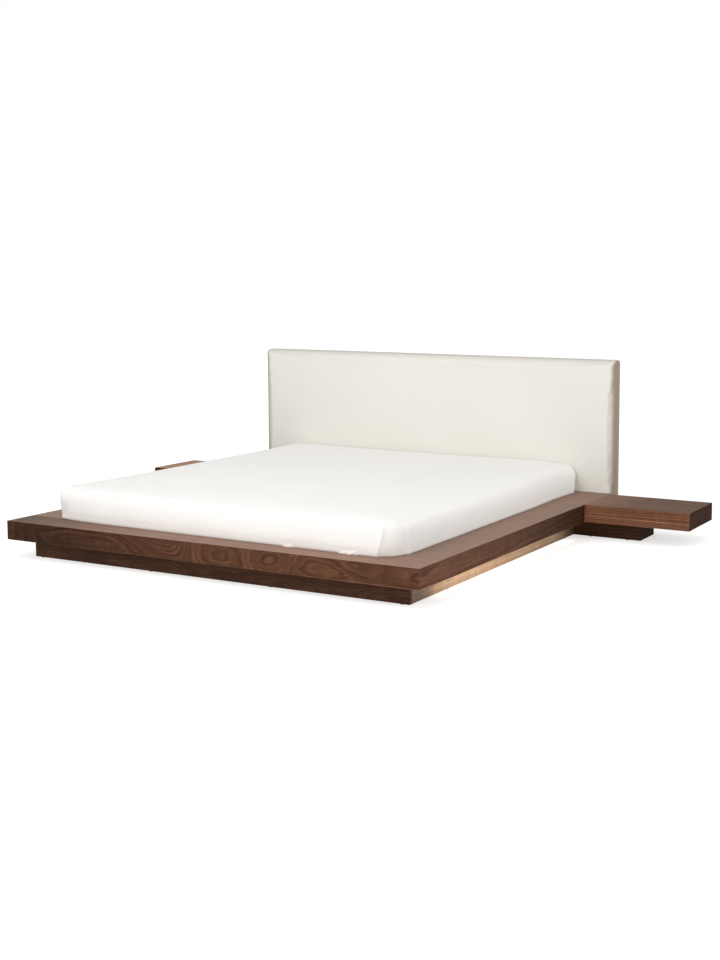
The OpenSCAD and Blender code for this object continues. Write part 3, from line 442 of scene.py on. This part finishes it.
def foam(name, colour):
    """Open-cell foam: cream, matt, with pores drawn 1.2 mm wide."""
    material, tree, shader = new_material(name, {"IOR": 1.35, "Roughness": 0.9})
    spot = add(tree, "TexCoord").outputs["Object"]
    cell = add(tree, "TexVoronoi", {0: spot, "Scale": 1 / 0.0012}).outputs["Distance"]
    tint = add(tree, "TexNoise", {0: spot, "Scale": 9.0, "Detail": 2.0}).outputs[0]
    mix = add(tree, "Math", {0: cell, 1: 0.5, 2: tint}, operation="MULTIPLY_ADD").outputs[0]
    shade = add(tree, "ValToRGB", {0: mix})
    base = hex_colour(colour)
    stops = shade.color_ramp.elements
    stops[0].color, stops[1].color = [0.8 * c for c in base[:3]] + [1.0], base
    tree.links.new(shade.outputs[0], shader.inputs["Base Color"])
    relief = add(tree, "Bump", {"Strength": 0.4, "Distance": 0.0006, "Height": cell}).outputs[0]
    tree.links.new(relief, shader.inputs["Normal"])
    return material


low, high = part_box("headboard_foam")
edge_gap, face_gap = Vector((0.022, 0.0, 0.022)), Vector((0, 0.014, 0))
headboard_pad = link_piece("headboard_foam_slab",
                           slab(low + edge_gap + face_gap, high - edge_gap, 0.012, 0.012, 0.002, 1),
                           foam("cut_foam_headboard", "#e9dfc4"))
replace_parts(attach(headboard_pad, "bed"), "headboard_foam")


# Headboard cover: a woven ivory fabric drawn over the foam, with its edge band turned to the back
# and stapled under the back cloth. The foam swells it a little, and it is drawn in along its edges.
def swell(piece, voxel, pressure, reach, held):
    """Blows up a padded piece like a cushion: an even remesh, a short cloth run with cloth cut 4%
    too large, and a soft limit on how far a point may go outwards. The foam under it keeps a point
    from going inwards. held says which points stay where they are."""
    remesh = piece.modifiers.new("even", "REMESH")
    remesh.mode, remesh.voxel_size = "VOXEL", voxel
    take_modifiers(piece)
    start = np.array([v.co for v in piece.data.vertices])
    outwards = np.array([v.normal for v in piece.data.vertices])
    pinned = piece.vertex_groups.new(name="held")
    pinned.add([i for i, co in enumerate(start) if held(co)], 1.0, "REPLACE")
    cloth = piece.modifiers.new("cloth", "CLOTH")
    cloth.settings.use_pressure = True
    cloth.settings.uniform_pressure_force = pressure
    cloth.settings.vertex_group_mass = "held"
    cloth.settings.shrink_min = -0.04
    cloth.settings.quality = 5
    cloth.settings.effector_weights.gravity = 0.0
    cloth.point_cache.frame_start, cloth.point_cache.frame_end = 1, 20
    for number in range(1, 21):
        scene.frame_set(number)
    take_modifiers(piece)
    scene.frame_set(1)
    moved = np.array([v.co for v in piece.data.vertices]) - start
    moved -= np.minimum(0, (moved * outwards).sum(axis=1, keepdims=True)) * outwards
    length = np.linalg.norm(moved, axis=1, keepdims=True) + 1e-9
    moved *= reach * (1 - np.exp(-length / reach)) / length
    piece.data.vertices.foreach_set("co", (start + moved).astype(np.float32).ravel())
    piece.vertex_groups.clear()


def take_modifiers(piece):
    """Applies a piece's modifiers to its own mesh."""
    result = bpy.data.meshes.new_from_object(piece.evaluated_get(bpy.context.evaluated_depsgraph_get()))
    result.name = piece.name
    piece.modifiers.clear()
    piece.data = result
    result.polygons.foreach_set("use_smooth", [True] * len(result.polygons))


def smooth_once(piece):
    """Adds one subdivision to a piece and applies it."""
    finer = piece.modifiers.new("finer", "SUBSURF")
    finer.levels = finer.render_levels = 1
    take_modifiers(piece)


def woven(name, face, thread_mm, slub, fuzz, cloudy, band=None):
    """A plain weave: threads across each other, thicker slubs here and there, and a soft nap.
    Threads are drawn at their real spacing. band is the colour that its sides turn to; its top rim is mixed
    part way to it as painted shade."""
    material, tree, shader = new_material(name, {"IOR": 1.45, "Roughness": 0.85, "Sheen Weight": fuzz,
                                                 "Sheen Roughness": 0.5})
    spot = add(tree, "TexCoord").outputs["Object"]
    place = add(tree, "SeparateXYZ", {0: spot}).outputs
    facing = add(tree, "VectorMath", {0: add(tree, "TexCoord").outputs["Normal"]}, operation="ABSOLUTE").outputs[0]
    facing = add(tree, "SeparateXYZ", {0: facing}).outputs
    sideways = add(tree, "Math", {0: facing[0], 1: 0.7}, operation="GREATER_THAN").outputs[0]
    lying = add(tree, "Math", {0: facing[2], 1: 0.7}, operation="GREATER_THAN").outputs[0]
    warp = add(tree, "Mix", {0: sideways, 2: place[0], 3: place[1]}, data_type="FLOAT").outputs[0]
    weft = add(tree, "Mix", {0: lying, 2: place[2], 3: place[1]}, data_type="FLOAT").outputs[0]
    turn = 2 * math.pi / (thread_mm / 1000)
    over = add(tree, "Math", {0: warp, 1: turn}, operation="MULTIPLY").outputs[0]
    over = add(tree, "Math", {0: over}, operation="SINE").outputs[0]
    under = add(tree, "Math", {0: weft, 1: turn}, operation="MULTIPLY").outputs[0]
    under = add(tree, "Math", {0: under}, operation="SINE").outputs[0]
    weave = add(tree, "Math", {0: over, 1: under}, operation="MULTIPLY").outputs[0]
    slubs = add(tree, "Mapping", {0: spot, 3: (60.0, 60.0, 420.0)}).outputs[0]
    slubs = add(tree, "TexNoise", {0: slubs, "Scale": 1.0, "Detail": 2.0}).outputs[0]
    cloud = add(tree, "TexNoise", {0: spot, "Scale": 3.0, "Detail": 3.0}).outputs[0]
    cloud = add(tree, "MapRange", {0: cloud, 3: 0.5 - cloudy, 4: 0.5 + cloudy}).outputs[0]
    tone = add(tree, "Math", {0: slubs, 1: slub, 2: cloud}, operation="MULTIPLY_ADD").outputs[0]
    tone = add(tree, "Math", {0: weave, 1: 0.12, 2: tone}, operation="MULTIPLY_ADD").outputs[0]
    shade = add(tree, "ValToRGB", {0: tone})
    stops = shade.color_ramp.elements
    stops[0].position, stops[1].position = 0.3, 0.8 + 0.4 * slub
    stops[0].color, stops[1].color = hex_colour(face[0]), hex_colour(face[1])
    colour = shade.outputs[0]
    if band:
        beside = add(tree, "MapRange", {0: facing[0], 1: 0.15, 2: 0.65, 3: 0.0, 4: 1.0}).outputs[0]
        # The top rim is mixed part way to the band's colour as painted shade, more where it faces upwards.
        above = add(tree, "MapRange", {0: facing[2], 1: 0.05, 2: 1.0, 3: 0.0, 4: 0.42}).outputs[0]
        share = add(tree, "Math", {0: beside, 1: above}, operation="MAXIMUM").outputs[0]
        colour = add(tree, "Mix", {0: share, 6: colour, 7: hex_colour(band)}, data_type="RGBA").outputs[2]
    tree.links.new(colour, shader.inputs["Base Color"])
    height = add(tree, "Math", {0: slubs, 1: slub, 2: weave}, operation="MULTIPLY_ADD").outputs[0]
    relief = add(tree, "Bump", {"Strength": 0.35, "Distance": 0.0004, "Height": height}).outputs[0]
    tree.links.new(relief, shader.inputs["Normal"])
    return material


low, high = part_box("headboard_cover")
ivory_weave = woven("woven_ivory_upholstery", ("#dcd9cf", "#ecebe4"), 1.6, 0.5, 0.1, 0.12, band="#938475")
corner_r, front_r, back_r, fullness = 0.016, 0.026, 0.004, 0.004
headboard_skin = link_piece("headboard_cover_upholstered",
                            slab(low + Vector((0.0, fullness, 0.0)), high, corner_r, front_r, back_r, 1),
                            ivory_weave)
headboard_back_y, turned_in = high.y, 0.024
swell(headboard_skin, 0.014, 4.0, 0.006, lambda co: co[1] > headboard_back_y - 0.05)
smooth_once(headboard_skin)

# The cover lies tight on the frame behind the foam: there its edge keeps the board's own outline.
middle, half_w, half_h = (low + high) / 2, (high.x - low.x) / 2, (high.z - low.z) / 2
front_rim, rim_blend, right_bulge, left_bulge = 0.012, 0.018, 0.007, 0.012
for v in headboard_skin.data.vertices:
    out_x = abs(v.co.x - middle.x) - (half_w - corner_r)
    out_z = abs(v.co.z - middle.z) - (half_h - corner_r)
    if max(out_x, out_z) > 0 and abs(v.normal.y) < 0.75:
        away = Vector((max(out_x, 0.0), max(out_z, 0.0)))
        gap = (corner_r - away.length) * min(1.0, max(0.0, (v.co.y - low.y - front_rim) / rim_blend))
        v.co.x += math.copysign(away.normalized().x * gap, v.co.x - middle.x)
        v.co.z += math.copysign(away.normalized().y * gap, v.co.z - middle.z)
    # The foam stands out a little at both ends: behind its front rim at the right, and from the rim
    # on at the left.
    behind = (v.co.y - low.y) / (high.y - low.y)
    near_end = max(0.0, 1 - (half_w - abs(v.co.x - middle.x)) / 0.05)
    bulge = right_bulge * near_end * math.sin(math.pi * min(1.0, max(0.0, behind * 1.25)))
    if v.co.x < middle.x:
        bulge = left_bulge * near_end * min(1.0, max(0.0, 2 - 2 * behind))
    v.co.x += math.copysign(bulge, v.co.x - middle.x)
back_face = bmesh.new()
back_face.from_mesh(headboard_skin.data)
open_area = [f for f in back_face.faces
             if f.normal.y > 0.7 and abs(f.calc_center_median().x) < high.x - turned_in
             and low.z + turned_in < f.calc_center_median().z < high.z - turned_in]
bmesh.ops.delete(back_face, geom=open_area, context="FACES")
back_face.to_mesh(headboard_skin.data)
back_face.free()
wall = headboard_skin.modifiers.new("cloth_thickness", "SOLIDIFY")
wall.thickness, wall.offset = 0.0018, -1.0
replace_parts(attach(headboard_skin, "bed"), "headboard_cover")


# Back cloth: a black non-woven dust cloth stretched over the open back of the headboard, folded
# under at its rim and held by a row of wire staples.
low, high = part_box("headboard_back_cloth")
back_w, back_h, fold_w = high.x - low.x, high.z - low.z, 0.012
bm = bmesh.new()
bmesh.ops.create_grid(bm, x_segments=96, y_segments=36, size=0.5)
bmesh.ops.scale(bm, vec=(back_w, back_h, 1), verts=bm.verts)
bmesh.ops.rotate(bm, cent=(0, 0, 0), matrix=Matrix.Rotation(math.radians(90), 3, "X"), verts=bm.verts)
for v in bm.verts:
    rim = min(back_w / 2 - abs(v.co.x), back_h / 2 - abs(v.co.z))
    slack = min(1.0, max(0.0, rim - 0.02) / 0.12)
    v.co.y = -0.0008 * slack * (1 + noise.noise(Vector((v.co.x * 5, 0.0, v.co.z * 5))))
    if rim < fold_w:
        v.co.y += 0.0004
bmesh.ops.translate(bm, vec=((low.x + high.x) / 2, high.y - 0.0006, (low.z + high.z) / 2), verts=bm.verts)


def nonwoven(name, dark, light):
    """Non-woven cloth: pressed fibres that lie every way, with small bonded dots."""
    material, tree, shader = new_material(name, {"IOR": 1.45, "Roughness": 0.8})
    spot = add(tree, "TexCoord").outputs["Object"]
    fibres = add(tree, "TexNoise", {0: spot, "Scale": 700.0, "Detail": 4.0, "Distortion": 2.0}).outputs[0]
    dots = add(tree, "TexVoronoi", {0: spot, "Scale": 1 / 0.003, "Randomness": 0.15}).outputs["Distance"]
    dots = add(tree, "MapRange", {0: dots, 1: 0.2, 2: 0.35, 3: 0.0, 4: 1.0}).outputs[0]
    tone = add(tree, "Math", {0: dots, 1: 0.25, 2: fibres}, operation="MULTIPLY_ADD").outputs[0]
    shade = add(tree, "ValToRGB", {0: tone})
    stops = shade.color_ramp.elements
    stops[0].position, stops[1].position = 0.35, 0.95
    stops[0].color, stops[1].color = hex_colour(dark), hex_colour(light)
    tree.links.new(shade.outputs[0], shader.inputs["Base Color"])
    relief = add(tree, "Bump", {"Strength": 0.3, "Distance": 0.0002, "Height": tone}).outputs[0]
    tree.links.new(relief, shader.inputs["Normal"])
    return material


dust_cloth = link_piece("headboard_dust_cloth", bm, nonwoven("nonwoven_black_cloth", "#141415", "#2b2b2d"))
cloth_wall = dust_cloth.modifiers.new("cloth_thickness", "SOLIDIFY")
cloth_wall.thickness, cloth_wall.offset = 0.0005, 0.0

staple_w, staple_gap, wire, in_fold = 0.010, 0.055, 0.0010, fold_w / 2
bm = bmesh.new()
around = [(x, z, 0) for z in (low.z + in_fold, high.z - in_fold)
          for x in np.linspace(low.x + 0.02, high.x - 0.02, int(back_w / staple_gap))]
around += [(x, z, 90) for x in (low.x + in_fold, high.x - in_fold)
           for z in np.linspace(low.z + 0.03, high.z - 0.03, int(back_h / staple_gap))]
for x, z, turn in around:
    crown = bmesh.ops.create_cube(bm, size=1.0)["verts"]
    bmesh.ops.scale(bm, vec=(staple_w, wire * 0.6, wire), verts=crown)
    bmesh.ops.rotate(bm, cent=(0, 0, 0), matrix=Matrix.Rotation(math.radians(turn), 3, "Y"), verts=crown)
    bmesh.ops.translate(bm, vec=(x, high.y + 0.0001, z), verts=crown)
bmesh.ops.bevel(bm, geom=bm.edges[:], offset=0.0002, affect="EDGES", segments=1, profile=0.5, material=-1)
staples = link_piece("headboard_staples", bm, zinc_steel)
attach(staples, "bed")
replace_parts(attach(dust_cloth, "bed"), "headboard_back_cloth")


# Mattress filling: a core of firm foam with a softer layer on it, cut from slabs and glued. Both
# keep clear of the cover, which sags and is drawn in over them.
edge_gap, top_gap, filling_r = Vector((0.045, 0.045, 0)), Vector((0, 0, 0.012)), 0.06
low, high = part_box("mattress_core")
core_foam = foam("cut_foam_mattress", "#efe7cf")
core = link_piece("mattress_foam_core", slab(low + edge_gap, high - edge_gap, filling_r, 0.012, 0.002), core_foam)
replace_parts(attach(core, "mattress"), "mattress_core")
low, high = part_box("mattress_comfort_foam")
comfort = link_piece("mattress_foam_comfort_layer",
                     slab(low + edge_gap, high - edge_gap - top_gap, filling_r, 0.002, 0.020), core_foam)
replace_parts(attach(comfort, "mattress"), "mattress_comfort_foam")


# Mattress cover: white knitted cotton drawn tight over the filling, with a soft roll round the top
# and a seam down each corner, where the end panels meet the side panels. The filling swells it.
low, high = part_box("mattress_cover")
white_knit = woven("knitted_white_cotton", ("#e8e6e2", "#f3f1ee"), 0.9, 0.2, 0.15, 0.12)
corner_r, hem_r, roll_r, side_swell, top_swell = 0.062, 0.004, 0.024, -0.002, 0.010
taken_off = Vector((side_swell, side_swell, 0))
mattress = link_piece("mattress_cover_padded",
                      slab(low + taken_off, high - taken_off - Vector((0, 0, top_swell)), corner_r, hem_r, roll_r),
                      white_knit)
swell(mattress, 0.024, 4.0, top_swell, lambda co: co[2] < low.z + 0.010)
smooth_once(mattress)

# Each corner seam stands at the end of an end panel and leans in towards its foot. The side panel
# starts there 3 mm deeper. At the right of the foot end it is drawn in: it starts turned by 50
# degrees at the top and by 38 at the foot, and bends round to the side, and its seam runs in a bow.
middle, half = (low + high) / 2, (high - low) / 2
lean, overlap, quarter = 0.027, 0.003, corner_r * math.pi / 2
bm = bmesh.new()
bm.from_mesh(mattress.data)


def past_seam(co):
    """How far a place lies past its corner's seam along the outline, and where that seam is."""
    from_side, from_end = half.x - abs(co.x - middle.x), half.y - abs(co.y - middle.y)
    seam = corner_r + lean * (1 - (co.z - low.z) / (high.z - low.z))
    if from_side > corner_r:
        return seam - from_side, seam
    turned = math.atan2(corner_r - from_side, max(corner_r - from_end, 1e-6))
    return seam - corner_r + corner_r * turned + max(0.0, from_end - corner_r), seam


def side_panel(lies, seam, turn):
    """How much farther from the side and from the end a place of the outline comes to lie when the
    side panel bends from the seam to the side in one soft curve."""
    knee = seam * math.tan(turn)
    along_side = max(corner_r, knee + 0.042)
    share = lies / (seam - corner_r + quarter + along_side - corner_r)
    if not 0 < share < 1:
        return 0.0, 0.0
    bent = min(quarter, max(0.0, lies - seam + corner_r)) / corner_r
    from_side = seam - lies if bent == 0 else corner_r * (1 - math.sin(bent))
    from_end = corner_r * (1 - math.cos(bent)) + max(0.0, lies - seam + corner_r - quarter)
    return (1 - share) ** 2 * seam - from_side, 2 * share * (1 - share) * knee + share ** 2 * along_side - from_end


# Both seams of each side are cut into the mesh, with lines beside them for the step.
for across in (-1, 1):
    for shift in (-0.004, 0.0, 0.003, 0.008, 0.016, 0.028):
        on_seam = Vector((middle.x + across * (half.x - corner_r + shift), 0, high.z))
        near = [f for f in bm.faces
                if abs(f.normal.z) < 0.9 and half.y - abs(f.calc_center_median().y - middle.y) < 0.05
                and abs(abs(f.calc_center_median().x - middle.x) - half.x + corner_r + lean / 2) < 0.08]
        rims = list(dict.fromkeys(e for f in near for e in f.edges))
        corners = list(dict.fromkeys(v for f in near for v in f.verts))
        bmesh.ops.bisect_plane(bm, geom=near + rims + corners, dist=1e-5, plane_co=on_seam,
                               plane_no=Vector((1, 0, -across * lean / (high.z - low.z))))

# The foot of the cover lies on the rails along a line of its own: fuller at the right of the foot
# end, drawn in at its left and towards the head. The walls follow that line, with a soft belly over
# it, and the top gives way along its long edges.
skin = BVHTree.FromBMesh(bm)


def way_out(co):
    """The level direction out of the box's rounded outline, and how far a place is inside of it."""
    ahead = Vector((math.copysign(1, co.x - middle.x), math.copysign(1, co.y - middle.y), 0))
    inner = Vector((corner_r - half.x + abs(co.x - middle.x), corner_r - half.y + abs(co.y - middle.y), 0))
    if inner.x > 0 and inner.y > 0:
        return (ahead * inner).normalized(), corner_r - inner.length
    if inner.x > inner.y:
        return Vector((ahead.x, 0, 0)), corner_r - inner.x
    return Vector((0, ahead.y, 0)), corner_r - inner.y


def foot_line(co, out):
    """How far inside the outline the foot of the wall lies that looks along out."""
    foot_end = -0.009 - 0.020 * co.x + 0.19 * max(0.0, -0.6 - co.x) ** 2 if out.y < 0 else 0.0
    long_side = -0.005 + 0.012 * (co.y + 0.9) + 0.03 * max(0.0, 0.25 - abs(co.y - 0.7))
    return foot_end * out.y ** 2 + long_side * out.x ** 2


# The hem isn't tucked in everywhere: at three places of the foot end a fold of it shows, as the
# two ends of its ridge along and above the rail. The mesh is cut finer there first.
folds = ((0.412, 0.001, 0.432, 0.012, 0.002, 0.0035), (0.700, 0.005, 0.732, 0.014, 0.0025, 0.0035),
         (0.712, 0.001, 0.768, 0.014, 0.0035, 0.004))
for from_x, to_x in ((0.395, 0.450), (0.680, 0.790)):
    fine = [e for e in bm.edges if all(from_x < v.co.x < to_x and v.co.z < low.z + 0.036
                                       and v.co.y < low.y + 0.03 for v in e.verts)]
    bmesh.ops.subdivide_edges(bm, edges=fine, cuts=6, use_grid_fill=True)
bm.normal_update()

# For every place: lies is how far it is past the seam, inset how far in from the outline, and
# height how far above the rail, and raised_share that as a share of the whole height.
wall_zone, foot_zone, hem_h, outside = 0.075, 0.10, 0.022, 0.06
step_w, step_reach, seam_ridge, ripple = 0.003, 0.08, 0.0012, 0.0012
wall_share, tuck = 0.85, 0.020
long_sag, edge_sag, rear_sag, left_share, drawn_narrower = 0.013, 0.012, 0.010, 0.35, 0.014
moves = []
for v in bm.verts:
    lies, seam = past_seam(v.co)
    out, inset = way_out(v.co)
    height = v.co.z - low.z
    raised_share = height / (high.z - low.z)
    at_wall = min(1.0, max(0.0, (wall_zone - inset) / 0.06))
    drawn_in = v.co.x > middle.x and v.co.y < middle.y
    turn = math.radians(38 + 12 * raised_share)
    towards = [at_wall * amount for amount in side_panel(lies, seam, turn)] if drawn_in else (0, 0)
    step = max(0.0, 1 - lies / step_reach) * min(1.0, max(0.0, lies / step_w))
    deeper = at_wall * (overlap * step - seam_ridge * max(0.0, 1 - abs(lies + 0.002) / 0.006))
    deeper -= ripple * noise.noise(Vector((v.co.x * 6, v.co.y * 6, v.co.z * 14)))
    line = foot_line(v.co, out)
    leaning = wall_share * line
    deeper += leaning * min(1.0, max(0.0, 1 - (inset - 0.02) / 0.20))
    lower = 0.0
    if height < foot_zone and inset < 0.10:
        # A ray from outside finds the wall. What lies beyond it in the hem goes down to the rail.
        on_outline = v.co + out * (inset + outside)
        hit = skin.ray_cast(Vector((on_outline.x, on_outline.y, low.z + hem_h)), -out, 0.15)[3]
        wall = (hit or outside) - outside
        beyond = max(0.0, inset - wall)
        fade = max(0.0, 1 - beyond / 0.055)
        low_part = min(1.0, max(0.0, (foot_zone - height) / 0.07))
        tucked = tuck * max(0.0, 2 * out.x * out.y)
        deeper += (line + tucked - leaning - wall) * fade * low_part
        if height < hem_h:
            lower = min(height, beyond)
            deeper -= lower
    for ax, az, bx, bz, stands, wide in folds:
        if v.co.y < low.y + 0.04 and height < 0.04 and ax - 0.03 < v.co.x < bx + 0.03:
            ridge = Vector((bx - ax, bz - az))
            spot = Vector((v.co.x - ax, height - az))
            along = min(1.0, max(0.0, spot.dot(ridge) / ridge.length_squared))
            deeper -= stands * math.exp(-((spot - ridge * along).length / wide) ** 2)
    raised = max(0.0, raised_share - 0.3) / 0.7
    near_side = half.x - abs(v.co.x - middle.x)
    sag = (long_sag + 0.005 * math.cos(3.0 * (v.co.y + 0.35))) * max(0.0, 1 - near_side / 0.24) ** 2
    sag += edge_sag * max(0.0, 1 - near_side / 0.07) ** 2
    if v.co.x < middle.x:
        sag *= left_share
    else:
        sag += rear_sag * max(0.0, 1 - near_side / 0.35) * max(0.0, v.co.y - 0.5) / 0.5
    to_head = min(1.0, max(0.0, (v.co.y + 0.6) / 1.6))
    narrower = drawn_narrower * to_head * max(0.0, 1 - near_side / 0.3) * raised
    bow = 0.019 * (1 - (1 - raised_share) ** 3) - 0.010 * raised_share ** 2 if drawn_in else 0.0
    bow_reach = 0.09 if lies < 0 else 0.14
    bow *= max(0.0, 1 - (lies / bow_reach) ** 2) ** 2 * at_wall
    inwards = Vector((math.copysign(1, middle.x - v.co.x) * (towards[0] + narrower - bow),
                      math.copysign(1, middle.y - v.co.y) * towards[1], -raised * sag - lower))
    moves.append(inwards - out * deeper)
for v, move in zip(bm.verts, moves):
    v.co += move
bm.to_mesh(mattress.data)
bm.free()
mattress.data.polygons.foreach_set("use_smooth", [True] * len(mattress.data.polygons))
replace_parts(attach(mattress, "mattress"), "mattress_cover")


# Floor and light: a plain pale studio floor, one large soft lamp in front of the foot end, others
# at the right and overhead, and an even white surrounding. Where a camera or a gloss sees the
# floor, it is lit to the white of the surroundings and keeps the bed's shadow.
bm = bmesh.new()
bmesh.ops.create_grid(bm, x_segments=1, y_segments=1, size=80.0)
floor_material, tree, shader = new_material("pale_studio_floor", {"Roughness": 0.9, "IOR": 1.3})
seen = add(tree, "LightPath").outputs
seen = add(tree, "Math", {0: seen["Is Camera Ray"], 1: seen["Is Glossy Ray"]}, operation="MAXIMUM").outputs[0]
patch = add(tree, "TexNoise", {0: add(tree, "TexCoord").outputs["Object"], "Scale": 0.8}).outputs[0]
patch = add(tree, "MapRange", {0: patch, 3: 0.84, 4: 0.86}).outputs[0]
paint = add(tree, "CombineColor", {0: patch, 1: patch, 2: patch}).outputs[0]
lit = add(tree, "BsdfDiffuse", {"Color": paint}).outputs[0]
half_lit = add(tree, "BsdfDiffuse", {"Color": (0.65, 0.65, 0.65, 1)}).outputs[0]
glow = add(tree, "Emission", {"Color": (1, 1, 1, 1), "Strength": 0.6}).outputs[0]
both = add(tree, "AddShader", {0: half_lit, 1: glow}).outputs[0]
ground = add(tree, "MixShader", {0: seen, 1: lit, 2: both}).outputs[0]
tree.links.new(ground, tree.nodes["Material Output"].inputs["Surface"])
floor = link_piece("studio_floor", bm, floor_material)

world = bpy.data.worlds.new("studio")
world.use_nodes = True
scene.world = world
tree = world.node_tree
tree.nodes.clear()
seen = add(tree, "LightPath").outputs
shown = add(tree, "Math", {0: seen["Is Camera Ray"], 1: seen["Is Glossy Ray"]}, operation="MAXIMUM").outputs[0]
shown = add(tree, "Math", {0: shown, 1: seen["Is Transmission Ray"]}, operation="MAXIMUM").outputs[0]
level = add(tree, "MapRange", {0: shown, 3: 0.76, 4: 1.0}).outputs[0]
sky = add(tree, "Background", {"Color": (1, 1, 1, 1), "Strength": level}).outputs[0]
add(tree, "OutputWorld", {"Surface": sky})


def soft_lamp(name, place, aim, size, power, tint):
    """A square area lamp that points at aim and is itself out of sight."""
    data = bpy.data.lights.new(name, "AREA")
    data.size, data.energy, data.color = size, power, hex_colour(tint)[:3]
    lamp = bpy.data.objects.new(name, data)
    scene.collection.objects.link(lamp)
    lamp.location = place
    lamp.rotation_euler = (Vector(aim) - Vector(place)).to_track_quat("-Z", "Y").to_euler()
    lamp.visible_camera = False
    lamp.visible_glossy = False


soft_lamp("lamp_front", (0.4, -5.2, 1.7), (0.2, -0.6, 0.3), 2.4, 68.0, "#fffdfc")
soft_lamp("lamp_right", (5.8, 0.0, 1.2), (1.0, 0.0, 0.2), 2.2, 66.0, "#ffffff")
soft_lamp("lamp_above", (0.1, -2.6, 3.0), (0.0, -1.2, 0.2), 2.0, 32.0, "#ffffff")

# A strip lamp lies under the right rail near the foot end and lights the plinth behind it warmly.
strip = bpy.data.lights.new("lamp_under_rail", "AREA")
strip.shape, strip.size, strip.size_y = "RECTANGLE", 1.4, 0.02
strip.energy, strip.color = 1.8, hex_colour("#fff1e0")[:3]
strip_lamp = bpy.data.objects.new("lamp_under_rail", strip)
scene.collection.objects.link(strip_lamp)
strip_lamp.location = (1.135, -0.13, 0.026)
strip_lamp.rotation_euler = Matrix(((0, 0.5, 0.87), (1, 0, 0), (0, 0.87, -0.5))).to_euler()
strip_lamp.visible_camera = strip_lamp.visible_glossy = False
